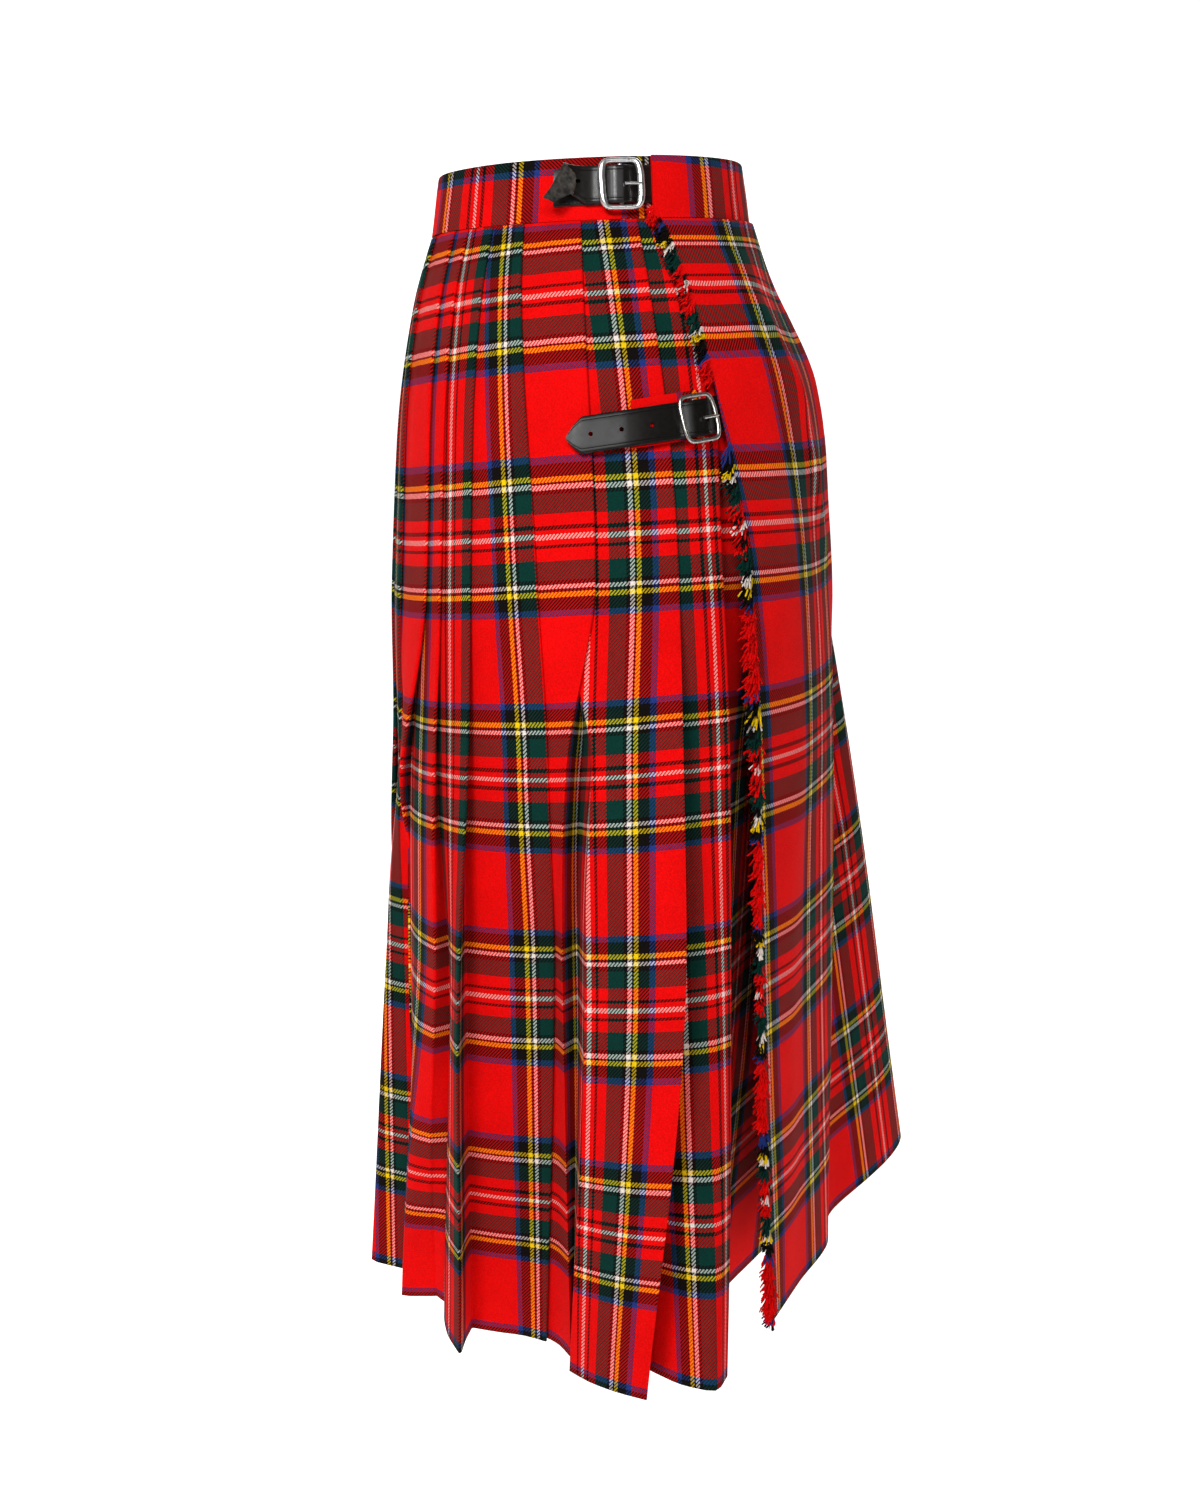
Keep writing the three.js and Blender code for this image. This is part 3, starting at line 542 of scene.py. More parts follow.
lines, across = np.array(lines), np.array(across)
over_edge = lines[:, -1].copy()
over_ahead = lines[:, -1] - lines[:, -4]
over_ahead[:, 2] = 0
over_ahead /= np.linalg.norm(over_ahead, axis=1, keepdims=True)
apron_down = (apron_drops - WEFT_START) / UNIT_DOWN
over_apron = cloth_shell("over_apron_cloth", lines, WOOL_THICK, across, apron_down)
over_apron.data.materials.append(wool)
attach(over_apron, "root")
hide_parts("over_apron")

# Fringe
# The over-apron's raw edge: its warp is drawn out for about a centimetre, and the loose weft
# threads are left. They droop in tufts, each in the colour of its own weft stripe.
FRINGE = {  # reach of the threads at each drop
    "drop": [0, 40, 110, 181, 229, 262, 330, 358, 451, 508, 557, 604, 645, 686, 752, 804, 836],
    "reach": [9, 10, 11, 12.5, 11.5, 12, 16.5, 14, 10.5, 9, 7.5, 10, 12.5, 11.5, 11, 15, 11],
}
STRAP_GAP = (124, 168)     # drops between which the hip strap takes the fringe's place
THREAD_PITCH = 0.3
rng = np.random.default_rng(11)


def new_group(name, takes, lengths, stuff, gives):
    """Geometry node tree with named inputs: a geometry, some lengths, a seed and a material."""
    group = bpy.data.node_groups.new(name, "GeometryNodeTree")
    inputs = [(takes, "Geometry", None)] + [(label, "Float", size) for label, size in lengths.items()]
    for label, kind, value in inputs + [("Seed", "Int", 1), (stuff, "Material", None)]:
        socket = group.interface.new_socket(label, in_out="INPUT", socket_type="NodeSocket" + kind)
        if value is not None:
            socket.default_value = value
    group.interface.new_socket(gives, in_out="OUTPUT", socket_type="NodeSocketGeometry")
    return group, group.nodes.new("NodeGroupInput").outputs


def laid_on(group, points, shape, rotation, stretch):
    """Shapes turned and stretched lengthwise on the points of a mesh, made into one mesh."""
    laid = place(group, "GeometryNodeInstanceOnPoints", {
        "Points": place(group, "GeometryNodeMeshToPoints", {"Mesh": points}).outputs[0],
        "Instance": shape.outputs[0], "Rotation": rotation.outputs[0],
        "Scale": place(group, "CombineXYZ", {0: 1.0, 1: 1.0, 2: stretch}).outputs[0]})
    return place(group, "GeometryNodeRealizeInstances", {"Geometry": laid.outputs[0]}).outputs[0]


def ends_in(group, made, stuff):
    """Gives the made mesh its material and closes the tree."""
    done = place(group, "GeometryNodeSetMaterial", {"Geometry": made, "Material": stuff})
    group.links.new(done.outputs[0], group.nodes.new("NodeGroupOutput").inputs[0])
    return group


def uneven(group, seed, low, high):
    """Random value for each point."""
    value = place(group, "FunctionNodeRandomValue", {"Seed": seed}, data_type="FLOAT")
    value.inputs[2].default_value, value.inputs[3].default_value = low, high
    return value.outputs[1]


def threads_tree():
    """Curled threads on points, each by its own turn and reach, with a little fuzz."""
    lengths = {"Thread radius": 0.00032, "Curl": 0.0016, "Fuzz": 0.0012}
    group, given = new_group("loose_threads", "Edge", lengths, "Wool", "Threads")
    line = place(group, "GeometryNodeCurvePrimitiveLine", {"Start": (0, 0, 0), "End": (0, 0, 1)})
    line = place(group, "GeometryNodeResampleCurve", {"Curve": line.outputs[0], "Count": 6})
    up = place(group, "SeparateXYZ", {0: place(group, "GeometryNodeInputPosition").outputs[0]}).outputs[2]
    bend = sum_of(group, "MULTIPLY", sum_of(group, "MULTIPLY", up, up), given["Curl"])
    line = place(group, "GeometryNodeSetPosition", {
        "Geometry": line.outputs[0], "Offset": place(group, "CombineXYZ", {0: bend}).outputs[0]})
    ring = place(group, "GeometryNodeCurvePrimitiveCircle",
                 {"Resolution": 4, "Radius": given["Thread radius"]})
    strand = place(group, "GeometryNodeCurveToMesh", {
        "Curve": line.outputs[0], "Profile Curve": ring.outputs[0], "Fill Caps": True})
    turn = place(group, "GeometryNodeInputNamedAttribute", {"Name": "turn"}, data_type="FLOAT_VECTOR")
    reach = place(group, "GeometryNodeInputNamedAttribute", {"Name": "reach"}, data_type="FLOAT").outputs[0]
    spin = place(group, "CombineXYZ", {2: uneven(group, given["Seed"], -0.9, 0.9)}).outputs[0]
    first, then = (place(group, "FunctionNodeEulerToRotation", {0: angles}).outputs[0]
                   for angles in (turn.outputs[0], spin))
    turned = place(group, "FunctionNodeRotateRotation", {0: first, 1: then}, rotation_space="LOCAL")
    real = laid_on(group, given["Edge"], strand, turned, reach)
    rough = place(group, "TexNoise", {"Scale": 420, "Detail": 1}).outputs["Color"]
    drift = place(group, "VectorMath", {0: rough, 1: (0.5, 0.5, 0.5)}, operation="SUBTRACT").outputs[0]
    fuzzy = place(group, "GeometryNodeSetPosition", {
        "Geometry": real, "Offset": scaled(group, drift, given["Fuzz"])})
    return ends_in(group, fuzzy.outputs[0], given["Wool"])


def settle(piece, modifier):
    """Keeps what a modifier makes of a piece as its plain mesh."""
    bpy.context.view_layer.update()
    depsgraph = bpy.context.evaluated_depsgraph_get()
    made = bpy.data.meshes.new_from_object(piece.evaluated_get(depsgraph), preserve_all_data_layers=True,
                                           depsgraph=depsgraph)
    piece.modifiers.remove(modifier)
    old, piece.data = piece.data, made
    bpy.data.meshes.remove(old)
    made.name = piece.name


def grown(piece, group, settings):
    """Runs a node tree on a piece and keeps its result as a plain mesh."""
    modifier = piece.modifiers.new("grow", "NODES")
    modifier.node_group = group
    sockets = {item.name: item.identifier for item in group.interface.items_tree
               if item.item_type == "SOCKET" and item.in_out == "INPUT"}
    for label, value in settings.items():
        modifier[sockets[label]] = value
    settle(piece, modifier)


fringe_wool, tree, where = new_material("fringe_wool", Roughness=0.92, Specular_IOR_Level=0.03,
                                        Sheen_Weight=0.01)
thread_dye = stripes_of(tree, place(tree, "Attribute", attribute_name="down").outputs["Fac"])
fibre = spread(tree, noise(tree, where, 1500, 2), 0.3, 0.7, 0.7, 1.1)
dress(tree, Base_Color=scaled(tree, thread_dye, fibre))

loose_threads = threads_tree()


def turns_to(ways):
    """Turns that take +Z to each of some directions."""
    ways = ways / np.linalg.norm(ways, axis=1, keepdims=True)
    return np.column_stack([np.zeros(len(ways)), np.arccos(np.clip(ways[:, 2], -1, 1)),
                            np.arctan2(ways[:, 1], ways[:, 0])])


def loose_row(name, base, lean, reach, down, seed):
    """Loose threads from points of an edge: their lean, reach in millimetres and stripe in units."""
    threads = piece_of(name, base, turn=turns_to(lean), reach=(reach + 1) / 1000, down=down + 20 * SETT)
    grown(threads, loose_threads, {"Thread radius": 0.00062, "Curl": 0.0035, "Fuzz": 0.0016,
                                   "Seed": seed, "Wool": fringe_wool})
    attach(threads, "root")
    return threads


for name, node, low, high, seed in (
        ("fringe_above_strap", "fringe_upper", 3, STRAP_GAP[0], 3),
        ("fringe_below_strap", "fringe_lower", STRAP_GAP[1], SKIRT_DROP - 1, 5)):
    count = int((high - low) / THREAD_PITCH)
    drops = np.sort(rng.uniform(low, high, count))
    at = np.interp(drops, apron_drops, np.arange(APRON_ROWS))
    row = np.minimum(at.astype(int), APRON_ROWS - 2)
    share = (at - row)[:, None]
    base = over_edge[row] * (1 - share) + over_edge[row + 1] * share
    ahead = over_ahead[row] * (1 - share) + over_ahead[row + 1] * share
    side = np.column_stack([-ahead[:, 1], ahead[:, 0], np.zeros(count)])
    # Neighbours cling together, so a thread leans towards the middle of its clump.
    tuft = np.sin(drops / 5.1 + 1.3 * np.sin(drops / 17)) + 0.6 * np.sin(drops / 2.3 + 2)
    clump = np.round((drops + 2.5 * np.sin(drops / 9)) / 6.5)
    centre = np.array([drops[clump == c].mean() for c in clump])
    reach = np.interp(drops, FRINGE["drop"], FRINGE["reach"])
    reach = reach * rng.uniform(0.7, 1.1, count) * (1 + 0.08 * tuft)
    droop = 0.42 + 0.28 * tuft + 0.7 * (centre - drops) / reach + rng.normal(0, 0.16, count)
    splay = rng.normal(0.12, 0.26, count)
    lean = ahead + np.outer(droop, [0, 0, -1]) + side * splay[:, None]
    base = base - ahead * 1.0 + side * rng.uniform(-0.35, 0.35, count)[:, None]
    fringe = loose_row(name, base, lean, reach, (drops - WEFT_START) / UNIT_DOWN, seed)
    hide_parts(node)

# Under-apron
# The plain inner front panel. It starts behind the first pleat, crosses the front beneath the
# over-apron and ends in a plain turned edge at the left front.
UNDER_APRON = {
    "behind the first pleat": [[-78, -77], [-94, -94], [-125, -99], [-132, -110], [-120, -106],
                               [-112, -102], [-105, -90]],
    "right front": [[-47, -102], [-53, -119.5], [-83, -131.5], [-88, -136],
                    [-76, -126], [-70, -117], [-58, -106]],
    "middle": [[-2, -114], [-8.5, -127.4], [-20, -155], [0, -166], [-8, -154], [-12, -142], [0, -140]],
    "left front": [[42.5, -103], [48, -116.5], [57, -149], [56, -162], [58, -158], [58, -166], [80, -188]],
    "plain end": [[76, -77], [91, -89], [111, -123], [117, -148], [112, -178], [124, -198], [158, -236]],
}
# Its turned start: angle past the first pleat's edge, and stand off that edge.
UNDER_TURN = [(3.85, -3.2), (7, -4.8), (7, -7.2), (3.5, -8.4)]
UNDER_COLUMNS = 100
UNDER_UNITS = 695      # units of the tartan at that start
lines, across = [], []
for drop in apron_drops:
    widths = half_widths(drop)
    first = pleat_at(0, drop)
    edge, stand = first["edge"], first["stand"]
    fold = plan_points(*zip(*[(edge + past, stand + off) for past, off in UNDER_TURN]), widths)
    plan = apron_plan(UNDER_APRON, fold[-1], drop, UNDER_COLUMNS)
    turn = rounded(fold, [1, CREASE, CREASE, 1], [1, 1, 1])
    plan = np.vstack([turn[:-1], plan])
    lines.append(np.column_stack([plan, heights(plan, drop)]))
    run = run_along(plan)
    units = UNDER_UNITS + run / UNIT_AROUND
    across.append(np.column_stack([units, units]))
under_apron = cloth_shell("under_apron_cloth", np.array(lines), WOOL_THICK, np.array(across), apron_down)
under_apron.data.materials.append(wool)
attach(under_apron, "root")
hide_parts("under_apron")

# Waistband
# One strip of the tartan cut with its stripes upright, folded double over the top of the skirt
# and sewn through. It goes once round and on beneath its own start at the right front.
BAND_TURN = {  # angles run on past a full turn, from the outer end to the inner one beneath it
    "angle": [-22, -38, -56, -90, -125, -154, -200, -270, -340, -384, -430, -496],
    "stand": [5.6, 5.2, 3.8, 2.6, 2.4, 1.5, 0.5, 0.5, -0.4, -0.6, -0.9, -1.2],
}
BAND_HEIGHT, BAND_THICK, BAND_TAPER = 42, 2.6, 6
BAND_REPEATS, BAND_MATCH = 4, (22, 357)     # repeats of the tartan between these two angles
# The strip wasn't folded quite straight: height of its middle red above the lower edge.
BAND_RED = {"angle": [22, 60, 330, 496], "height": [12.4, 9, 5.4, 5.4]}


def band_point(angle, height, extra=0.0):
    """Point of the band by its angle along the winding strip, height and stand off its middle."""
    stand = through([-a for a in BAND_TURN["angle"]], BAND_TURN["stand"], -angle) + extra
    plan = plan_points([angle], [stand - BAND_TAPER * height / BAND_HEIGHT], WAIST)[0]
    return np.array([plan[0], plan[1], height - TILT * plan[1]])


WAIST = half_widths(0)
band_angles = np.arange(-22, -496.1, -1.5)
# Outline of the folded strip from its raw edge outside, over the top fold and down inside.
outline = ([(h, 1) for h in (0.5, 4, 10, 17, 24, 31, 37, 40)] + [(41.3, 0.75), (42, 0), (41.3, -0.75)]
           + [(h, -1) for h in (40, 30, 20, 10, 0.5)])
ring = []
for height, skin in outline:
    wave = [0.35 * math.sin(a / 7 + height / 9) * (height / BAND_HEIGHT) for a in band_angles]
    ring.append([band_point(a, height, skin * BAND_THICK / 2 + w) for a, w in zip(band_angles, wave)])
ring = np.array(ring)
middle = np.array([band_point(a, 20) for a in band_angles])
run = run_along(middle[:, :2])
start, again = np.interp(BAND_MATCH, -band_angles, run)
units = (run - start) * (BAND_REPEATS * SETT) / (again - start)
lift = np.interp(-band_angles, BAND_RED["angle"], BAND_RED["height"])
count, columns = ring.shape[:2]
faces, charts = [], []
travel = np.concatenate([[0], np.cumsum([math.hypot(b[0] - a[0], (b[1] - a[1]) * BAND_THICK / 2)
                                         for a, b in zip(outline, outline[1:])])]) + outline[0][0]
for j in range(count):
    n = (j + 1) % count
    for i in range(columns - 1):
        faces.append([j * columns + i, n * columns + i, n * columns + i + 1, j * columns + i + 1])
        high = travel[n] if n else travel[j] + 1
        charts.append([(units[i], travel[j] - lift[i]), (units[i], high - lift[i]),
                       (units[i + 1], high - lift[i + 1]), (units[i + 1], travel[j] - lift[i + 1])])
for i in (0, columns - 1):
    rim = [j * columns + i for j in range(count)]
    for a in range(count // 2 - 1):
        faces.append([rim[a], rim[a + 1], rim[count - 2 - a], rim[count - 1 - a]])
        charts.append([(units[i], travel[n] - lift[i]) for n in (a, a + 1, a + 1, a)])
        if i == 0:
            faces[-1].reverse()
charts = np.array(charts, float)
charts[..., 1] /= UNIT_AROUND
waistband = piece_of("waistband_cloth", ring.reshape(-1, 3), faces, charts / SETT, sharp=50, turn_out=True)
waistband.data.materials.append(wool)
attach(waistband, "root")
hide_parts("waistband")
# The lower corner of the band's raw end has frayed into a small red tuft.
FRAYED = 90            # threads in the tuft
frayed_at = rng.uniform(0.8, 9.5, FRAYED) * np.linspace(0.6, 1, FRAYED)
corner = np.array([band_point(-22.4, height, 0.9) for height in frayed_at])
ahead = band_point(-21, 5) - band_point(-22, 5)
ahead /= np.linalg.norm(ahead)
droop, splay = rng.normal(0.75, 0.4, FRAYED), rng.normal(0.12, 0.12, FRAYED)
lean = ahead + np.outer(droop, [0, 0, -1]) + np.outer(splay, [-1, 0, 0])
loose_row("frayed_band_end", corner, lean, rng.uniform(3, 6.5, FRAYED), np.zeros(FRAYED), 9)

# Waist strap and its leather tab
# A 1 inch black bridle-leather strap that comes from under the band's outer end, through the
# buckle, and curls away at its worn end. The tab under the buckle is sewn to the band.
STRAP_WIDTH, LEATHER, HOLE_RADIUS = 25, 2.2, 1.5
# Place of the buckle, half its size, and how far its ring, bar and prong stand off the band.
WAIST_BUCKLE = {"angle": -11, "height": 23, "across": 12.2, "up": 15.7, "ring": 8.2, "bar": 5, "prong": 11.2}
WAIST_STRAP = {  # its path round the band, from the sewn end to the curled one
    "angle": [-34, -30, -26, -22, -18.6, -16, -13, -11.5, -9.3, -7.8, -4.8, -2, 2, 6, 9.5, 12, 13.4],
    "stand": [3.2, 3.2, 3.2, 3.3, 3.9, 4.4, 7.2, 8.2, 8.2, 7.2, 4.6, 4.7, 6.5, 10, 14.5, 18, 19],
}
WORN_END = {  # cut of the free end: its top and bottom edge, and the raised flesh-side lap from "lap"
    "angle": [1, 2, 4, 6, 8, 9.5, 11, 12, 13.4],
    "top": [12.5, 12.5, 12.8, 13.6, 15, 8.9, 1.5, -3, -7.6],
    "bottom": [-12.5, -11, -8, -6.2, -8.2, -9.8, -11.4, -9.8, -8.6],
    "up": [-6, 3, 6.5, 15],
    "lap": [5, 3.8, 4.3, 8],
}


def worn_end(angle, up):
    """Where the strap's free end is cut, and how far it is lapped over itself, 0 to 1."""
    top, bottom = (np.interp(angle, WORN_END["angle"], WORN_END[side]) for side in ("top", "bottom"))
    place_up = (top + bottom) / 2 + up / 12.5 * (top - bottom) / 2
    lap = (angle - np.interp(place_up, WORN_END["up"], WORN_END["lap"])) / 0.5
    return place_up, min(max(lap, 0), 1)


def on_band(angle, up, stand):
    """Point over the band by angle, height over the buckle's middle and stand."""
    return band_point(angle - 360, WAIST_BUCKLE["height"] + up, stand)


# Across the strap: place on its width, 1 at an edge, and height on its thickness. The outer
# face is pressed with a fine crease line inside each edge.
half = [(-1, -0.25), (-1, 0.35), (-0.975, 0.75), (-0.93, 0.97), (-0.8, 1), (-0.775, 0.97), (-0.755, 0.72),
        (-0.735, 0.97), (-0.71, 1), (-0.55, 1), (-0.4, 1), (-0.27, 1), (-0.13, 1), (0, 1)]
under_side = [(0.97, -0.9), (0.9, -1), (0.4, -1), (0, -1), (-0.4, -1), (-0.9, -1), (-0.97, -0.9)]
STRAP_SECTION = half + [(-w, t) for w, t in reversed(half[:-1])] + under_side
LAP_RISE = 1.8         # how far the worn end's raised flesh side stands up


def tube_faces(rings, sides, closed=False):
    """Faces of a tube of rings of points, with a flat face at each end unless it is closed."""
    faces = []
    for i in range(rings if closed else rings - 1):
        n = (i + 1) % rings
        for k in range(sides):
            m = (k + 1) % sides
            faces.append([i * sides + k, i * sides + m, n * sides + m, n * sides + k])
    if not closed:
        faces += [list(range(sides))[::-1], [(rings - 1) * sides + k for k in range(sides)]]
    return faces


def strap_mesh(name, table, where, steps, section=STRAP_SECTION, thick=LEATHER, width=STRAP_WIDTH, cut=None):
    """Closed strap along a table of angles and stands. Its UV is the length and the place across."""
    def line(angle):
        return where(angle, 0, through(table["angle"], table["stand"], angle))

    angles = np.linspace(table["angle"][0], table["angle"][-1], steps)
    points, along, worn = [], [], []
    run, before = 0.0, None
    for angle in angles:
        stand = through(table["angle"], table["stand"], angle)
        share = np.interp(angle, table["angle"], table["share"]) if "share" in table else 1
        middle = line(angle)
        if before is not None:
            run += float(np.linalg.norm(middle - before))
        before = middle
        ahead = line(angle + 0.4) - line(angle - 0.4)
        upward = where(angle, 3, stand) - where(angle, -3, stand)
        out = np.cross(ahead, upward)
        out /= np.linalg.norm(out)
        if out @ np.array([middle[0], middle[1], 0]) < 0:
            out = -out
        for across, level in section:
            up, lap = cut(angle, across * width / 2) if cut else (across * share * width / 2, 0)
            points.append(where(angle, up, stand) + out * (level * thick / 2 + LAP_RISE * lap))
            worn.append(lap)
        along.append(run)
    count = len(section)
    faces = tube_faces(steps, count)
    chart = np.array([(along[v // count], section[v % count][0]) for face in faces for v in face], np.float32)
    return piece_of(name, points, faces, chart / (1000, 1), "strap", sharp=40, turn_out=True, worn=worn)


def punched(piece, spots):
    """Cuts round holes through a strap at some points, towards the middle of the skirt."""
    for spot in spots:
        bpy.ops.mesh.primitive_cylinder_add(vertices=20, radius=HOLE_RADIUS / 1000, depth=0.008,
                                            location=spot / 1000)
        punch = bpy.context.active_object
        punch.rotation_mode = "QUATERNION"
        punch.rotation_quaternion = Vector((spot[0], spot[1], 0)).to_track_quat("Z", "Y")
        cut = piece.modifiers.new("punch", "BOOLEAN")
        cut.operation, cut.object, cut.solver = "DIFFERENCE", punch, "EXACT"
        settle(piece, cut)
        bpy.data.objects.remove(punch)
    piece.data.set_sharp_from_angle(angle=math.radians(40))


def leather(name, rough, shine):
    """Black leather. Its edges are rubbed, and where the strap is worn its flesh side shows."""
    material, tree, where = new_material(name, Specular_IOR_Level=shine)
    pores, rub = noise(tree, where, 380, 5), noise(tree, where, 240, 5)
    strap = place(tree, "SeparateXYZ", {0: place(tree, "UVMap", uv_map="strap").outputs[0]})
    edge = spread(tree, sum_of(tree, "ABSOLUTE", strap.outputs[1]), 0.92, 1.0, 0.0, 1.0)
    wear = sum_of(tree, "MULTIPLY", edge, spread(tree, rub, 0.45, 0.7, 0.0, 0.5))
    worn = place(tree, "Attribute", attribute_name="worn").outputs["Fac"]
    lapped = spread(tree, worn, 0.6, 0.95, 0.0, 1.0)
    cut_edge = spread(tree, worn, 0.05, 0.3, 0.0, 1.0)
    dark = mixed(tree, pores, (0.003, 0.0025, 0.0022), (0.009, 0.0075, 0.0065))
    napped = spread(tree, rub, 0.35, 0.65, 0.0, 1.0)
    suede = mixed(tree, napped, (0.010, 0.009, 0.008), (0.060, 0.052, 0.045))
    colour = mixed(tree, cut_edge, dark, (0.13, 0.075, 0.045))
    colour = mixed(tree, sum_of(tree, "MAXIMUM", wear, lapped), colour, suede)
    gloss = spread(tree, pores, 0.2, 0.8, rough - 0.04, rough + 0.06)
    gloss = place(tree, "Mix", {0: cut_edge, 2: gloss, 3: 0.95}, data_type="FLOAT").outputs[0]
    depth = sum_of(tree, "ADD", 0.25, sum_of(tree, "MULTIPLY", lapped, 3.0))
    relief = sum_of(tree, "MULTIPLY", pores, depth)
    dress(tree, Base_Color=colour, Roughness=gloss, Normal=relief_of(tree, relief, 0.2, 0.0003))
    return material


bridle = leather("strap_leather", 0.3, 0.42)
waist_strap = strap_mesh("waist_strap_leather", WAIST_STRAP, on_band, steps=200, cut=worn_end)
waist_strap.data.materials.append(bridle)
punched(waist_strap, [on_band(3.3, 2.5, 7.2)])
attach(waist_strap, "root")
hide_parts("waist_strap")

TAB_STEPS = {"angle": [-14, 12], "stand": [2.3, 2.3]}
TAB_SECTION = [(-1, -1), (-1, 0.6), (-0.96, 1), (0.96, 1), (1, 0.6), (1, -1)]
waist_tab = strap_mesh("waist_tab_leather", TAB_STEPS, lambda a, up, stand: on_band(a, up - 0.75, stand),
                       steps=30, section=TAB_SECTION, thick=1.2, width=24.5)
waist_tab.data.materials.append(bridle)
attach(waist_tab, "root")
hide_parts("waist_buckle_tab")


def stitches_tree():
    """Saddle stitches: short thread lozenges on the points of a line, along its direction."""
    lengths = {"Stitch length": 0.0022, "Thread radius": 0.0003}
    group, given = new_group("saddle_stitches", "Line", lengths, "Thread", "Stitches")
    bead = place(group, "GeometryNodeMeshUVSphere",
                 {"Segments": 6, "Rings": 5, "Radius": given["Thread radius"]})
    turn = place(group, "GeometryNodeInputNamedAttribute", {"Name": "turn"}, data_type="FLOAT_VECTOR")
    turn = place(group, "FunctionNodeEulerToRotation", {0: turn.outputs[0]})
    across = sum_of(group, "MULTIPLY", given["Thread radius"], 2.0)
    stretch = sum_of(group, "MULTIPLY", uneven(group, given["Seed"], 0.85, 1.12),
                     sum_of(group, "DIVIDE", given["Stitch length"], across))
    return ends_in(group, laid_on(group, given["Line"], bead, turn, stretch), given["Thread"])


STITCH_PITCH = 2.8
black_thread, tree, where = new_material("waxed_thread", Roughness=0.55)
dress(tree, Base_Color=mixed(tree, noise(tree, where, 1800, 1), (0.01, 0.01, 0.01), (0.06, 0.055, 0.05)))
seam = np.array([on_band(a, -11.2, 3.05) for a in np.linspace(-13, 11, 40)])
run = run_along(seam)
spots = np.arange(STITCH_PITCH / 2, run[-1], STITCH_PITCH)
at, next_to = (np.column_stack([np.interp(s, run, seam[:, n]) for n in range(3)])
               for s in (spots, spots + 0.5))
waist_stitches = piece_of("waist_tab_stitches", at, turn=turns_to(next_to - at))
grown(waist_stitches, stitches_tree(), {"Stitch length": 0.002, "Thread radius": 0.00028, "Seed": 4,
                                        "Thread": black_thread})
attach(waist_stitches, "root")

# Waist buckle
# A bright plated steel buckle: a cast frame with wide flat sides, a centre bar in the tab's
# loop, and a wire prong that rests on the front side.
WIRE, BAR, PRONG = 3.5, 3.0, 2.2
PRONG_OVER = 1.6       # the prong's tip past the middle of the ring's front side


def seat(where, angle):
    """Frame of a buckle that sits square on the cloth: across to the front, up and away."""
    centre = where(angle, 0, 0)
    across = where(angle - 0.5, 0, 0) - centre
    across /= np.linalg.norm(across)
    out = np.cross(where(angle, 1, 0) - centre, across)
    out /= np.linalg.norm(out)
    if out @ centre < 0:
        out = -out
    up = np.cross(across, out)
    if up[2] < 0:
        up = -up
    away = np.array([out[0], out[1], 0])
    away /= np.linalg.norm(away)
    return lambda s, t, h: centre + across * s + up * t + away * h


def swept(name, sit, path, sizes, closed=False, flat=1.0):
    """Rod along a path. sizes are its radii at each point; flat squashes its section outwards."""
    path = np.array(path)
    sides = 14
    away = sit(0, 0, 1) - sit(0, 0, 0)
    count = len(path)
    points = []
    for i, point in enumerate(path):
        before = path[(i - 1) % count if closed else max(i - 1, 0)]
        after = path[(i + 1) % count if closed else min(i + 1, count - 1)]
        ahead = after - before
        ahead /= np.linalg.norm(ahead)
        lift = away - ahead * (away @ ahead)
        lift /= np.linalg.norm(lift)
        side = np.cross(lift, ahead)
        for k in range(sides):
            turn = 2 * math.pi * (k + 0.5) / sides
            points.append(point + side * math.cos(turn) * sizes[i]
                          + lift * math.sin(turn) * sizes[i] * flat)
    return piece_of(name, points, tube_faces(count, sides, closed), sharp=60, turn_out=True)


def buckle_ring(sit, across, up, lift, corner=5, bow=1.6, points=120):
    """Rounded outline of a frame, bowed a little at both ends: share across, share up and place."""
    ring = []
    for i in range(points):
        turn = 2 * math.pi * (i + 0.5) / points
        power = 2 / (2 + corner)
        c = math.copysign(abs(math.cos(turn)) ** power, math.cos(turn))
        s = math.copysign(abs(math.sin(turn)) ** power, math.sin(turn))
        ring.append((c, s, sit(across * c + bow * (1 - s * s) * c, up * s, lift)))
    return ring


def bar_and_prong(name, sit, buckle):
    """The rod between a frame's long sides, and the prong that reaches over its front side."""
    reach, far = buckle["up"] - WIRE / 2 - 0.4, buckle["across"] + PRONG_OVER
    rod = [sit(0, t, buckle["bar"]) for t in np.linspace(-reach, reach, 12)]
    bar = swept(name + "_bar_rod", sit, rod, [BAR / 2] * 12)
    places = [2 + (far - 2) * n / 15 for n in range(16)]
    line = [sit(s, 0, buckle["prong"] - 0.5 * ((s - 2) / (far - 2)) ** 3) for s in places]
    sizes = [PRONG / 2 * (1 - 0.35 * (n / 15) ** 2) for n in range(16)]
    prong = swept(name + "_prong_wire", sit, line, sizes)
    return bar, prong


def metal(name, colour, rough, tarnish):
    """Plated steel, clouded with tarnish."""
    material, tree, where = new_material(name, Metallic=1.0)
    cloudy, fine = noise(tree, where, 240, 5), noise(tree, where, 1500, 2)
    aged = spread(tree, cloudy, 0.45, 0.75, 0.0, tarnish)
    tint = mixed(tree, aged, colour, (colour[0] * 0.35, colour[1] * 0.3, colour[2] * 0.24))
    dress(tree, Base_Color=tint, Roughness=spread(tree, cloudy, 0.3, 0.7, rough, rough + 0.12),
          Normal=relief_of(tree, fine, 0.12, 0.0002))
    return material


